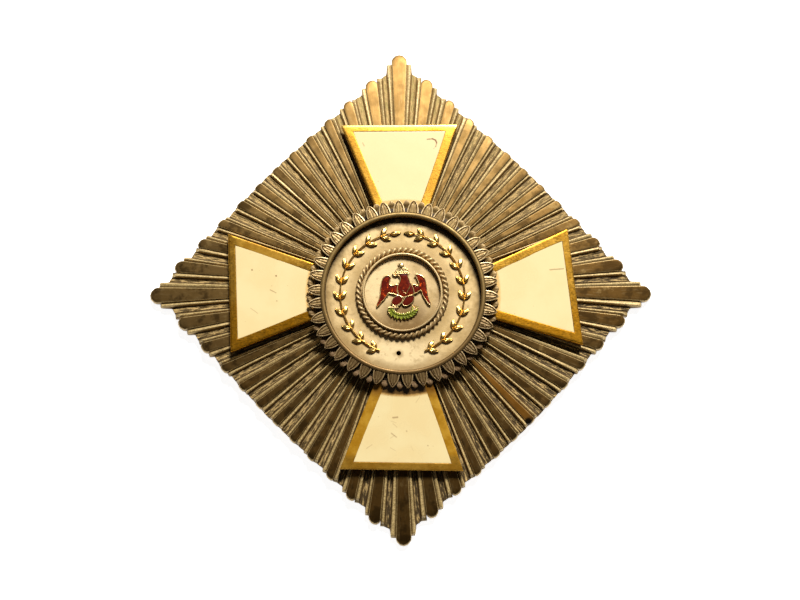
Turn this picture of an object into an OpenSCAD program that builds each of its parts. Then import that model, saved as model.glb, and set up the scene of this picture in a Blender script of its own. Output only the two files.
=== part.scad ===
/* [Star] */
// Distance between opposite points of the star
star_w = 65.8; // [60:0.1:70]
// Number of wide rays round the star, a multiple of four
ray_count = 48; // [40:4:56]
// Height of the ray tops above the floor at the middle of the star
ray_top_middle = 3.1; // [2.9:0.05:3.3]
// Height of the ray tops above the floor at the points of the star
ray_top_point = 1; // [0.9:0.05:1.2]
// Height of the hollow back above the floor at the middle of the star
hollow_h = 2; // [1.6:0.05:2.1]
// Depth of the ground between the rays
ray_relief = 0.5; // [0.3:0.05:0.6]

/* [Cross] */
// Shift of the cross and medallion to the right of the star's middle
cross_shift_x = 0.32; // [-0.5:0.02:0.5]
// Shift of the cross and medallion up from the star's middle
cross_shift_y = -0.58; // [-0.8:0.02:0.8]
// Thickness of a gilt arm
arm_t = 0.82; // [0.6:0.02:0.9]
// Thickness of the gilt floor under the enamel
arm_floor_t = 0.3; // [0.2:0.05:0.4]
// Width of the gilt rim along the two long sides of an arm
rim_side_w = 1.18; // [0.7:0.02:1.3]
// Width of the gilt rim along the outer edge of an arm
rim_outer_w = 0.93; // [0.6:0.01:1.2]
// Distance of an arm's inner end from the middle of the medallion
arm_inner_r = 11.65; // [11.5:0.05:11.8]

/* [Medallion] */
// Radius of the plain bezel's inner edge
bezel_inner_r = 9.98; // [9.9:0.01:10.2]
// Radius of the plain bezel's outer edge
bezel_outer_r = 10.55; // [10.4:0.05:10.7]
// Height of the bezel's rounded top above the floor
bezel_top = 4.8; // [4.6:0.05:5]
// Radius of the circle of leaf tips round the medallion
leaf_tip_r = 12.33; // [11.9:0.01:12.5]
// Number of front leaves in the collar
leaf_count = 38; // [30:1:42]
// Height of the leaf tips above the floor
leaf_top = 4.55; // [4.4:0.05:4.7]
// Height of the silver disc's face above the floor
disc_top = 3.8; // [3.7:0.05:3.9]
// Diameter of the pinhole in the silver disc
pinhole_d = 0.6; // [0.3:0.05:0.8]
// Radius of the stem of the laurel branches
laurel_r = 7.95; // [7.7:0.05:8.2]
// Thickness of the laurel branches
laurel_t = 0.42; // [0.3:0.02:0.6]
// Number of leaf groups on each laurel branch
laurel_groups = 10; // [6:1:11]

/* [Centre] */
// Radius of the rope ring's middle line
rope_r = 5.62; // [5.5:0.02:5.7]
// Radius of the rope's twisted wire
rope_wire_r = 0.36; // [0.2:0.02:0.4]
// Number of strands counted round the rope ring
rope_strands = 50; // [40:2:72]
// Height of the inner lip's rounded edge above the floor
lip_top = 4.75; // [4.5:0.05:4.8]
// Radius of the inner lip's outer wall
lip_outer_r = 5.12; // [4.9:0.02:5.2]
// Thickness of the inner lip's wall
lip_wall = 0.26; // [0.2:0.02:0.4]
// Height of the centre disc's face above the floor
centre_top = 4; // [3.95:0.01:4.15]
// Thickness of the gold plate under the bird and wreath
gold_t = 0.15; // [0.1:0.05:0.3]
// Thickness of the coloured enamel on the gold plate
colour_t = 0.15; // [0.1:0.05:0.25]

/* [Back] */
// Length of the back pin between its hinge block and its catch
pin_l = 36; // [30:1:38]
// Diameter of the back pin
pin_d = 0.9; // [0.7:0.05:1]

/* [Hidden] */
$fn = 96;

silver = "#b5a488";
pale_silver = "#dccfae";
gilt = "#c8962e";
cream = "#f7ebc4";
red = "#8a1c0a";
green = "#6f9a44";

// Size of the seat gap left between pieces that lie on each other
seat_gap = 0.03;
// Size of the gap left round a piece that drops into a setting
side_gap = 0.05;

// Star plate

star_r = star_w / 2;
pitch = 360 / ray_count;
// Radius where the rays start, under the medallion
start_r = 10.5;
// Radius where the vault of the tops would meet its point height
vault_r = 33;
// Radius beyond which the back is flat on the floor
foot_r = 29.4;
// Length of the flat foot under each of the four points
foot_l = 1.5;
// Length of the bevel that ends each ray, and its drop
tip_bevel_l = 0.4;
tip_bevel_h = 0.18;

function ray_top(r) = ray_top_point + (ray_top_middle - ray_top_point) * (1 - pow(r / vault_r, 2));
function back_z(r) = max(0, hollow_h * (1 - pow(r / foot_r, 2)));
// How far the middle of each hand-cut side swells, clockwise from the upper right side
side_swell = [0.15, 0.66, 0.13, 0.22];
function turned(a) = (a % 360 + 360) % 360;
// Distance from the middle to the rhomb through the points
function rhomb_r(a) =
    star_r / (abs(sin(a)) + abs(cos(a))) + side_swell[floor(turned(a) / 90)] * abs(sin(2 * a));
function at(r, a, z) = [r * sin(a), r * cos(a), z];

// How far the hand-cut rays stray clockwise from even spacing, all in degrees.
// Columns: heading, stray near the star's edge, stray near the medallion
ray_stray = [
    [  0.0, -0.1,  0.0],
    [ 22.5, -0.4, -0.8],
    [ 45.0,  0.5,  1.0],
    [ 67.5,  0.5,  1.5],
    [ 90.0,  0.1,  0.2],
    [112.5, -0.1, -0.5],
    [135.0,  0.0, -0.3],
    [157.5, -0.6,  0.0],
    [180.0, -0.9, -1.0],
    [202.5, -2.1, -3.0],
    [225.0, -2.0, -3.2],
    [247.5, -1.5, -1.6],
    [270.0, -0.5, -0.6],
    [292.5, -1.0, -1.3],
    [315.0,  0.1,  0.1],
    [337.5, -0.1,  0.7],
    [360.0, -0.1,  0.0]
];
// Radii at which the two strays are given
stray_edge_r = 23;
stray_inner_r = 14;
// The heading of a straight ray at a radius, when it would lie at heading a in an even star
function strayed(a, r) =
    let (
        edge = lookup(turned(a), [for (row = ray_stray) [row[0], row[1]]]),
        inner = lookup(turned(a), [for (row = ray_stray) [row[0], row[2]]]),
        share = (1 / stray_inner_r - 1 / r) / (1 / stray_inner_r - 1 / stray_edge_r)
    )
    a + inner + (edge - inner) * share;

// One pitch of the star across a wide ray, its two thin ridges and the ground beside them.
// Columns: place in degrees at a pitch of 7.5, depth as a share of the relief, cut of the end,
// and how far the end follows a shorter or a longer ray on that side
ray_section = [
    [-2.58, 1.00, 0.05, 0.78, 0.10],
    [-1.85, 0.10, 0.15, 0.36, 0.10],
    [-1.22, 0.42, 0.20, 0.32, 0.08],
    [-1.05, 0.03, 0.15, 0.26, 0.04],
    [ 0.00, 0.00, 0.00, 0.00, 0.00],
    [ 1.05, 0.03, 0.15, 0.26, 0.04],
    [ 1.22, 0.42, 0.20, 0.32, 0.08],
    [ 1.85, 0.10, 0.15, 0.36, 0.10],
    [ 2.58, 1.00, 0.05, 0.78, 0.10]
];
section_n = len(ray_section);
column_n = ray_count * section_n;

function col_ray(j) = floor(j / section_n);
function col_row(j) = ray_section[j % section_n];
function col_angle(j, r) = strayed(col_ray(j) * pitch + col_row(j)[0] * pitch / 7.5, r);
function ray_end(k) = rhomb_r(strayed(k * pitch, stray_edge_r));
function col_end(j) =
    let (
        row = col_row(j),
        own = ray_end(col_ray(j)),
        beside = ray_end(col_ray(j) + sign(row[0]))
    )
    own - row[2] - row[3] * max(0, own - beside) + row[4] * max(0, beside - own);
function col_z(j, r) = ray_top(r) - col_row(j)[1] * ray_relief;
// A point of a column: its radius and height
function col_at(j, r, z) = at(r, col_angle(j, r), z);

module star_plate() {
    js = [0 : column_n - 1];
    rings = [
        [for (j = js) col_at(j, start_r, col_z(j, start_r))],
        [for (j = js) let (r = (start_r + col_end(j)) / 2) col_at(j, r, col_z(j, r))],
        [for (j = js) let (r = col_end(j) - tip_bevel_l) col_at(j, r, col_z(j, r))],
        [for (j = js) let (r = col_end(j)) col_at(j, r, col_z(j, r) - tip_bevel_h)],
        [for (j = js) let (r = col_end(j)) col_at(j, r, back_z(r))],
        [for (j = js) let (r = col_end(j) - foot_l) col_at(j, r, back_z(r))],
        [for (j = js) let (r = col_end(j) / 2) col_at(j, r, back_z(r))]
    ];
    color(silver)
        ring_solid(rings, [0, 0, ray_top(start_r)], [0, 0, back_z(0)]);
}

// A closed solid from rings of equal length, with a point that closes each end
module ring_solid(rings, first, last) {
    n = len(rings[0]);
    m = len(rings);
    points = concat([for (ring = rings) each ring], [first, last]);
    faces = concat(
        [for (j = [0 : n - 1]) [n * m, j, (j + 1) % n]],
        ring_faces(n, m - 1),
        [for (j = [0 : n - 1]) [n * m + 1, (m - 1) * n + (j + 1) % n, (m - 1) * n + j]]
    );
    polyhedron(points, faces, convexity = 10);
}

function ring_faces(n, strips) = [
    for (i = [0 : strips - 1], j = [0 : n - 1])
        let (a = i * n + j, b = i * n + (j + 1) % n, c = a + n, d = b + n)
        each [[a, c, d], [a, d, b]]
];

// Cross arms

// The four arms as they were cut by hand, seen with the arm pointing up.
// Columns: heading, outer left x, outer left y, outer right x, outer right y,
// inner left x, inner right x, shift of the enamel to the right
arms = [
    [  0, -8.07, 22.70, 7.30, 22.80, -3.72, 3.65, -0.04],
    [ 90, -8.72, 21.42, 6.50, 23.08, -4.10, 3.30,  0.00],
    [180, -7.68, 22.53, 7.88, 22.28, -3.98, 3.64, -0.08],
    [270, -7.48, 21.85, 8.05, 22.60, -3.50, 4.12,  0.05]
];
// Distance from the medallion's middle at which the inner widths are taken
arm_waist = 11.8;
// Distance at which an arm lies flat against the vault
arm_seat = 17;
// Length that an arm outline reaches inwards before its round end is cut
arm_cut = 8;

module at_cross() {
    translate([cross_shift_x, cross_shift_y, 0])
        children();
}

// Seats what is drawn pointing up and flat on the vaulted rays
module on_rays(arm) {
    heading = arm[0];
    d = arm_seat + cross_shift_x * sin(heading) + cross_shift_y * cos(heading);
    lean = atan(2 * (ray_top_middle - ray_top_point) * d / pow(vault_r, 2));
    at_cross()
        rotate([0, 0, -heading])
            translate([0, arm_seat, ray_top(d) + seat_gap])
                rotate([-lean, 0, 0])
                    translate([0, -arm_seat, 0])
                        children();
}

// Outline of an arm, drawn in from its side and outer edges
module arm_outline(arm, side, outer) {
    // Slopes of the outer edge and of the two long sides
    tilt = (arm[4] - arm[2]) / (arm[3] - arm[1]);
    slope_l = (arm[1] - arm[5]) / (arm[2] - arm_waist);
    slope_r = (arm[3] - arm[6]) / (arm[4] - arm_waist);
    // Each long side moved inwards, where it passes the waist
    waist_l = arm[5] + side * sqrt(1 + pow(slope_l, 2));
    waist_r = arm[6] - side * sqrt(1 + pow(slope_r, 2));
    // Where the outer edge, moved inwards, meets a long side
    edge_y = arm[2] - tilt * arm[1] - outer * sqrt(1 + pow(tilt, 2));
    function reach(slope, waist) = (edge_y + tilt * (waist - slope * arm_waist)) / (1 - tilt * slope);
    function on_side(slope, waist, y) = [waist + slope * (y - arm_waist), y];
    polygon([
        on_side(slope_l, waist_l, reach(slope_l, waist_l)),
        on_side(slope_r, waist_r, reach(slope_r, waist_r)),
        on_side(slope_r, waist_r, arm_cut),
        on_side(slope_l, waist_l, arm_cut)
    ]);
}

module arm_block(arm, side, outer, inner_r, z0, h) {
    difference() {
        translate([0, 0, z0])
            linear_extrude(h)
                arm_outline(arm, side, outer);
        translate([0, 0, z0 - 1])
            cylinder(h = h + 2, r = inner_r);
    }
}

module cross_arm(arm) {
    color(gilt)
        on_rays(arm)
            difference() {
                arm_block(arm, 0, 0, arm_inner_r, 0, arm_t);
                translate([arm[7], 0, 0])
                    arm_block(arm, rim_side_w, rim_outer_w, arm_inner_r - 1, arm_floor_t, arm_t);
            }
}

module arm_enamel(arm) {
    color(cream)
        on_rays(arm)
            translate([arm[7], 0, 0])
                arm_block(
                    arm, rim_side_w + side_gap, rim_outer_w + side_gap,
                    arm_inner_r + side_gap, arm_floor_t + seat_gap, arm_t - arm_floor_t - seat_gap
                );
}

// Medallion

// Shift of the rim, the leaves and the silver disc from the cross's middle, as the parts were soldered by hand
medallion_shift = [0.09, -0.02, 0];

module at_medallion() {
    at_cross()
        translate(medallion_shift)
            children();
}

foot_outer_r = 11.3;
foot_inner_r = 9.35;
// Underside of the bezel's foot, just clear of the plate
foot_z = ray_top(foot_inner_r) + seat_gap;
ledge_z = disc_top - 0.4;
shoulder_z = 3.9;

module bezel() {
    round_r = (bezel_outer_r - bezel_inner_r) / 2;
    mid = (bezel_outer_r + bezel_inner_r) / 2;
    color(silver)
        at_medallion()
            rotate_extrude()
                polygon(concat(
                    [
                        [foot_inner_r, foot_z],
                        [foot_outer_r, foot_z],
                        [foot_outer_r, shoulder_z],
                        [bezel_outer_r, shoulder_z]
                    ],
                    [for (a = [0 : 30 : 180]) [mid + round_r * cos(a), bezel_top - round_r + round_r * sin(a)]],
                    [
                        [bezel_inner_r, ledge_z],
                        [foot_inner_r, ledge_z]
                    ]
                ));
}

// One pitch of the leaf collar: a ribbed front leaf and half of the rear leaf on each side.
// Columns: place as a share of the pitch, cut of the tip, drop of the tip, drop of the root
leaf_section = [
    [-0.32, 0.62, 0.42, 0.36],
    [-0.24, 0.42, 0.06, 0.06],
    [-0.10, 0.14, 0.16, 0.14],
    [ 0.00, 0.00, 0.00, 0.00],
    [ 0.10, 0.14, 0.16, 0.14],
    [ 0.24, 0.42, 0.06, 0.06],
    [ 0.32, 0.62, 0.42, 0.36],
    [ 0.50, 0.05, 0.25, 0.42]
];
leaf_n = len(leaf_section);
// Angle from the top to the first leaf, clockwise
leaf_start = 6.7;
leaf_root_r = bezel_outer_r + side_gap;
leaf_t = 0.3;

module leaf_collar() {
    n = leaf_count * leaf_n;
    js = [0 : n - 1];
    mid_r = 11.45;
    root_z = leaf_top + 0.15;
    function turn(j) = leaf_start + (floor(j / leaf_n) + leaf_section[j % leaf_n][0]) * 360 / leaf_count;
    function tip(j) = leaf_tip_r - leaf_section[j % leaf_n][1];
    function tip_z(j) = leaf_top - leaf_section[j % leaf_n][2];
    function root(j) = root_z - leaf_section[j % leaf_n][3];
    rings = [
        [for (j = js) at(leaf_root_r, turn(j), shoulder_z)],
        [for (j = js) at(leaf_root_r, turn(j), root_z - 0.2)],
        [for (j = js) at(mid_r, turn(j), root(j))],
        [for (j = js) at(tip(j), turn(j), tip_z(j))],
        [for (j = js) at(tip(j), turn(j), tip_z(j) - leaf_t + 0.1)],
        [for (j = js) at(foot_outer_r, turn(j), shoulder_z)]
    ];
    color(silver)
        at_medallion()
            polyhedron([for (ring = rings) each ring], loop_faces(n, len(rings)), convexity = 10);
}

// Faces of a ring whose section closes on itself
function loop_faces(n, m) = [
    for (i = [0 : m - 1], j = [0 : n - 1])
        let (
            a = i * n + j, b = i * n + (j + 1) % n,
            c = ((i + 1) % m) * n + j, d = ((i + 1) % m) * n + (j + 1) % n
        )
        each [[a, c, d], [a, d, b]]
];

// Pinhole below the middle: distance from the middle, and clockwise angle
pinhole_r = 7.72;
pinhole_a = 184.1;

module medallion_disc() {
    color(pale_silver)
        at_medallion()
            difference() {
                translate([0, 0, ledge_z + seat_gap])
                    cylinder(h = disc_top - ledge_z - seat_gap, r = bezel_inner_r - side_gap);
                translate(at(pinhole_r, pinhole_a, 0))
                    cylinder(h = 2 * disc_top, d = pinhole_d);
            }
}

// Laurel branches

// Clockwise angle from the bottom at which a branch starts, and the angle it leaves at the top
laurel_start = 24;
laurel_gap = 5.5;
laurel_step = (180 - laurel_start - laurel_gap) / laurel_groups;
laurel_leaf_l = 1.4;
laurel_leaf_w = 0.6;
laurel_stem_w = 0.2;
laurel_splay = 36;
// Turn that keeps the last leaf on the branch's curve
laurel_end_turn = -5;

// A pointed leaf that starts at the origin and points along X
module leaf(l, w) {
    steps = 4;
    polygon(concat(
        [for (i = [0 : steps]) [l * i / steps, w / 2 * sin(180 * i / steps)]],
        [for (i = [1 : steps - 1]) [l * (1 - i / steps), -w / 2 * sin(180 * i / steps)]]
    ));
}

module laurel_leaf(step, splay) {
    rotate(-90 - laurel_start - step * laurel_step)
        translate([laurel_r, 0, 0])
            rotate(splay - 90)
                linear_extrude(laurel_t)
                    leaf(laurel_leaf_l, laurel_leaf_w);
}

module laurel_branch() {
    color(gilt)
        at_cross()
            translate([0, 0, disc_top + seat_gap])
                union() {
                    linear_extrude(laurel_t)
                        polygon(concat(
                            laurel_arc(laurel_r - laurel_stem_w / 2, 0, laurel_groups),
                            laurel_arc(laurel_r + laurel_stem_w / 2, laurel_groups, 0)
                        ));
                    for (i = [0 : laurel_groups - 1], side = [-1, 1])
                        laurel_leaf(i, side * laurel_splay);
                    laurel_leaf(laurel_groups - 0.4, laurel_end_turn);
                }
}

function laurel_arc(r, from, to) = [
    for (k = [0 : 20])
        let (a = laurel_start + laurel_step * (from + (to - from) * k / 20) - laurel_step * 0.2)
        [-r * sin(a), -r * cos(a)]
];

// Centre

// Shift of the rope ring, the lip and the disc in it from the cross's middle
centre_shift = [0.01, 0.035, 0];
// Shift of the bird and the wreath from the cross's middle
bird_shift = [-0.04, 0.08, 0];

module at_centre() {
    at_cross()
        translate(centre_shift)
            children();
}

module rope_ring() {
    sides = 4;
    steps_per_strand = 2;
    rings_n = rope_strands * steps_per_strand;
    z = disc_top + rope_wire_r + seat_gap;
    points = [
        for (i = [0 : rings_n - 1])
            let (a = 360 * i / rings_n, twist = -360 / sides * i / steps_per_strand)
            for (k = [0 : sides - 1])
                let (b = twist + 360 * k / sides)
                at(rope_r + rope_wire_r * cos(b), a, z + rope_wire_r * sin(b))
    ];
    // A whole number of strands turns the section onto itself at the seam
    faces = [
        for (i = [0 : rings_n - 1], k = [0 : sides - 1])
            let (
                shift = i == rings_n - 1 ? (sides - rope_strands % sides) % sides : 0,
                i2 = (i + 1) % rings_n,
                a = i * sides + k, b = i * sides + (k + 1) % sides,
                c = i2 * sides + (k + shift) % sides, d = i2 * sides + (k + shift + 1) % sides
            )
            each [[a, d, c], [a, b, d]]
    ];
    color(silver)
        at_centre()
            polyhedron(points, faces, convexity = 10);
}

module inner_lip() {
    mid = lip_outer_r - lip_wall / 2;
    color(silver)
        at_centre()
            rotate_extrude()
                polygon(concat(
                    [
                        [lip_outer_r - lip_wall, disc_top + seat_gap],
                        [lip_outer_r, disc_top + seat_gap]
                    ],
                    [for (a = [0 : 45 : 180]) [mid + lip_wall / 2 * cos(a), lip_top - lip_wall / 2 * (1 - sin(a))]]
                ));
}

module centre_disc() {
    color(pale_silver)
        at_centre()
            translate([0, 0, disc_top + seat_gap])
                cylinder(h = centre_top - disc_top - seat_gap, r = lip_outer_r - lip_wall - side_gap);
}

module at_bird() {
    at_cross()
        translate(bird_shift)
            children();
}

// Outlines of the bird's two wings with their arms, of its body with the neck, of its crown and of its beak
wing_left = [
    [-2.45, 1.74], [-2.19, 2.00], [-1.87, 2.13], [-1.61, 2.07], [-1.45, 1.84], [-1.64, 1.27], [-1.62, 0.95],
    [-1.35, 0.81], [-0.76, 0.97], [-0.50, 0.95], [-0.60, 0.28], [-0.36, -0.44], [-1.02, -0.25], [-1.48, -0.12],
    [-1.80, -0.12], [-2.16, -0.79], [-2.60, -1.24], [-2.86, -1.60], [-3.20, -1.88], [-3.17, -1.52],
    [-3.01, -1.15], [-2.79, -0.47], [-2.73, 0.28], [-2.70, 0.81], [-2.60, 1.35]
];
wing_right = [
    [1.71, 2.21], [1.92, 2.32], [2.36, 2.27], [2.72, 2.04], [2.94, 1.70], [3.11, 0.81], [3.18, 0.28],
    [3.28, -0.37], [3.42, -0.89], [3.66, -1.46], [3.60, -1.66], [3.38, -1.53], [3.00, -0.92], [2.64, -0.32],
    [2.41, 0.24], [2.16, 0.13], [1.90, -0.07], [1.50, -0.18], [1.38, 0.28], [1.25, 0.81], [1.45, 0.99],
    [2.00, 0.79], [2.17, 0.86], [2.15, 1.21], [1.83, 1.94]
];
body = [
    [-0.44, 2.32], [-0.24, 1.94], [-0.21, 1.60], [-0.31, 1.27], [-0.57, 0.67], [-0.63, 0.28], [-0.57, -0.12],
    [-0.24, -0.55], [0.15, -0.69], [0.54, -0.57], [1.12, -0.39], [1.52, -0.15], [1.48, 0.28], [1.35, 0.67],
    [0.99, 1.34], [0.73, 2.13], [0.78, 2.36]
];
crown = [
    [-1.18, 2.32], [-0.80, 2.30], [0.92, 2.34], [0.92, 2.52], [0.84, 2.76], [0.62, 3.04], [0.20, 3.18],
    [0.16, 3.40], [0.10, 3.72], [-0.30, 3.78], [-0.54, 3.70], [-0.40, 3.42], [-0.22, 3.20], [-0.50, 3.14],
    [-0.76, 2.93], [-0.96, 2.62], [-1.18, 2.50]
];
beak = [[-0.46, 2.40], [-1.20, 2.48], [-1.22, 2.32], [-1.04, 2.16], [-0.80, 2.12], [-0.52, 2.22]];
// Thighs: centre, half length, half width and lean of each oval
thighs = [
    [[-0.63, -1.10], 0.80, 0.54, 40],
    [[ 0.80, -1.06], 0.88, 0.54, 42]
];
// Middle line of the ribbon that runs from the body between the thighs to the wreath
ribbon_line = [
    [1.12, -0.45], [0.50, -0.66], [0.28, -0.92], [0.08, -1.26], [-0.16, -1.52], [-0.60, -1.92],
    [-1.10, -1.99], [-1.76, -2.01]
];
ribbon_r = 0.12;
// Wreath: centre, outer and inner half sizes, and how far it turns each way from the bottom
wreath_c = [0.12, -2.13];
wreath_outer = [1.95, 1.37];
wreath_inner = [1.18, 0.66];
wreath_turn = 93;
// Width of the gold that shows round each cell of enamel
cell_wall = 0.08;
// Height of the crown, the beak and the ribbon above the underside of the gold plate
crest_h = gold_t + seat_gap + colour_t;

// Underside of the gold plate, and of the colours that lie on it
gold_z = centre_top + seat_gap;
colour_z = gold_z + gold_t + seat_gap;

function oval(c, a, b, lean, n) = [
    for (k = [0 : n - 1])
        let (t = 360 * k / n, x = a * cos(t), y = b * sin(t))
        [c[0] + x * cos(lean) - y * sin(lean), c[1] + x * sin(lean) + y * cos(lean)]
];

module thigh(t) {
    polygon(oval(t[0], t[1], t[2], t[3], 16));
}

module ribbon(grow) {
    for (i = [0 : len(ribbon_line) - 2])
        hull()
            for (p = [ribbon_line[i], ribbon_line[i + 1]])
                translate(p)
                    circle(r = ribbon_r + grow, $fn = 8);
}

// A point of the wreath at a turn from the bottom; share goes from 0 at the inner edge to 1 at the outer one
function wreath_at(turn, share) =
    let (size = wreath_inner + (wreath_outer - wreath_inner) * share)
    wreath_c + [size[0] * sin(turn), -size[1] * cos(turn)];

module wreath_band(from, to, reach) {
    steps = 24;
    polygon(concat(
        [for (k = [0 : steps]) wreath_at(reach * (2 * k / steps - 1), from)],
        [for (k = [0 : steps]) wreath_at(reach * (1 - 2 * k / steps), to)]
    ));
}

module eagle() {
    color(gilt)
        at_bird()
            translate([0, 0, gold_z])
                union() {
                    linear_extrude(gold_t) {
                        polygon(wing_left);
                        polygon(wing_right);
                        polygon(body);
                        for (t = thighs)
                            thigh(t);
                        wreath_band(0, 1, wreath_turn);
                    }
                    linear_extrude(crest_h) {
                        polygon(crown);
                        polygon(beak);
                        ribbon(0);
                    }
                }
}

module eagle_enamel() {
    color(red)
        at_bird()
            translate([0, 0, colour_z])
                linear_extrude(colour_t)
                    difference() {
                        union() {
                            offset(delta = -cell_wall)
                                polygon(wing_left);
                            offset(delta = -cell_wall)
                                difference() {
                                    polygon(wing_right);
                                    polygon(body);
                                }
                            offset(delta = -cell_wall)
                                difference() {
                                    polygon(body);
                                    for (t = thighs)
                                        thigh(t);
                                }
                            for (t = thighs)
                                offset(delta = -cell_wall)
                                    thigh(t);
                        }
                        ribbon(side_gap);
                    }
}

module wreath() {
    color(green)
        at_bird()
            translate([0, 0, colour_z])
                linear_extrude(colour_t)
                    difference() {
                        wreath_band(0.1, 0.9, wreath_turn - 3);
                        ribbon(side_gap);
                    }
}

// Back pin

module back_pin() {
    clearance = 0.22;
    // How far the flat faces of the back lie below the vault they follow
    facet_drop = 0.09;
    block_top = back_z(norm([1.6, pin_l / 2 + 1])) - facet_drop - seat_gap;
    hinge = [3.2, 2];
    catch = [1.8, 1.6];
    color(silver)
        union() {
            translate([0, pin_l / 2, clearance + pin_d / 2])
                rotate([90, 0, 0])
                    cylinder(h = pin_l, d = pin_d);
            translate([-hinge[0] / 2, pin_l / 2 - hinge[1] / 2, clearance])
                cube([hinge[0], hinge[1], block_top - clearance]);
            translate([-catch[0] / 2, -pin_l / 2 - catch[1] / 2, clearance])
                cube([catch[0], catch[1], block_top - clearance]);
        }
}

star_plate();
cross_arm(arms[0]);  // arm_top
cross_arm(arms[1]);  // arm_right
cross_arm(arms[2]);  // arm_bottom
cross_arm(arms[3]);  // arm_left
arm_enamel(arms[0]);  // enamel_top
arm_enamel(arms[1]);  // enamel_right
arm_enamel(arms[2]);  // enamel_bottom
arm_enamel(arms[3]);  // enamel_left
bezel();
leaf_collar();
medallion_disc();
laurel_branch();  // laurel_left
translate([2 * cross_shift_x, 0, 0]) mirror([1, 0, 0]) laurel_branch();  // laurel_right
rope_ring();
inner_lip();
centre_disc();
eagle();
eagle_enamel();
wreath();
back_pin();
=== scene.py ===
import random
from collections import namedtuple
from math import atan, cos, exp, hypot, pi, radians, sin, sqrt

import bpy
from mathutils import Matrix, Vector, noise
from mathutils.geometry import delaunay_2d_cdt


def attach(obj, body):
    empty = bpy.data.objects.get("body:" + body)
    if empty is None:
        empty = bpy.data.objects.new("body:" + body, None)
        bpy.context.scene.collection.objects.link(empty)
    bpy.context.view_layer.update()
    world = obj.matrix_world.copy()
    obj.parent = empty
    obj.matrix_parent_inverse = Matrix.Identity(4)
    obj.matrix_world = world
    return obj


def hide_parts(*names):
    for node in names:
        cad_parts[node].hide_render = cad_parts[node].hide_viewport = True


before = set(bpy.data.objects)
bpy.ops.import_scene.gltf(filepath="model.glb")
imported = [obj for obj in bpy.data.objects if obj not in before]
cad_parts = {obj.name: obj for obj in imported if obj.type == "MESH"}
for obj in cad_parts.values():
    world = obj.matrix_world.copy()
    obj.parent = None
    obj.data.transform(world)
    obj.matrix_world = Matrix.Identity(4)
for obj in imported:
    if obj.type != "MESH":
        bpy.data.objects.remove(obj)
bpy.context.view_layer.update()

# Sizes are in millimetres in the part's own frame. Meshes are scaled once, when they are made.
MM = 0.001

# Star
STAR_R = 32.9
RAYS = 48
PITCH = 360 / RAYS
START_R = 10.5
VAULT_R = 33
TOP_MIDDLE = 3.1
TOP_POINT = 1.0
RELIEF = 0.5
HOLLOW_H = 2.0
FOOT_R = 29.4

# Cross and medallion
CROSS = (0.32, -0.58)
MEDALLION = (0.41, -0.60)
CENTRE = (0.33, -0.545)
BIRD = (0.28, -0.50)
ARM_T = 0.82
ARM_FLOOR_T = 0.3
ARM_SEAT = 17
ARM_WAIST = 11.8
ARM_INNER_R = 11.65
RIM_SIDE_W = 1.18
RIM_OUTER_W = 0.93
SEAT_GAP = 0.03
DISC_TOP = 3.8
CENTRE_TOP = 4.0


# Meshes

class Solid:
    """Points in millimetres, faces and marks that are gathered for one piece."""

    def __init__(self):
        self.points = []
        self.faces = []
        self.marks = {}

    def mark(self, name, values):
        """Marks the points that were added last. Points before them that have no mark yet get 0."""
        kept = self.marks.setdefault(name, [])
        kept.extend([0.0] * (len(self.points) - len(values) - len(kept)))
        kept.extend(values)

    def add(self, points, faces):
        base = len(self.points)
        self.points.extend(points)
        self.faces.extend(tuple(base + i for i in face) for face in faces)
        return base

    def rows(self, rows, closed=True, ends=False, loop=False):
        """Skins rows of equal length.

        closed joins each row's end to its start, loop joins the last row to the first, and ends caps both.
        """
        n, m = len(rows[0]), len(rows)
        base = self.add([p for row in rows for p in row], [])
        for i in range(m if loop else m - 1):
            for j in range(n if closed else n - 1):
                a = base + i * n + j
                b = base + i * n + (j + 1) % n
                c = base + ((i + 1) % m) * n + (j + 1) % n
                d = base + ((i + 1) % m) * n + j
                self.faces.append((a, b, c, d))
        if ends:
            self.faces.append(tuple(base + j for j in reversed(range(n))))
            self.faces.append(tuple(base + (m - 1) * n + j for j in range(n)))

    def piece(self, name, look, slot, nodes, crease):
        """Makes the piece and hands it to the frame. Edges sharper than the crease angle stay sharp."""
        mesh = bpy.data.meshes.new(name)
        mesh.from_pydata([Vector(p) * MM for p in self.points], [], self.faces)
        mesh.validate()
        for mark, values in self.marks.items():
            layer = mesh.attributes.new(mark, "FLOAT", "POINT")
            layer.data.foreach_set("value", values + [0.0] * (len(self.points) - len(values)))
        mesh.shade_smooth()
        mesh.set_sharp_from_angle(angle=radians(crease))
        mesh.materials.append(look)
        made = bpy.data.objects.new(name, mesh)
        bpy.context.scene.collection.objects.link(made)
        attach(made, "root")
        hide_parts(*nodes)


def mix(a, b, t):
    return a + (b - a) * t


def smooth(low, high, x):
    t = min(1.0, max(0.0, (x - low) / (high - low)))
    return t * t * (3 - 2 * t)


def polar(r, angle, z, middle=(0, 0)):
    """A point at a clockwise angle from the top, in degrees."""
    a = radians(angle)
    return (middle[0] + r * sin(a), middle[1] + r * cos(a), z)


def revolve(solid, profile, middle, steps):
    """Turns a closed profile of (radius, height) points round a middle."""
    rows = [[polar(r, -360 * k / steps, z, middle) for k in range(steps)] for r, z in profile]
    solid.rows(rows, closed=True, loop=True)


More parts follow.
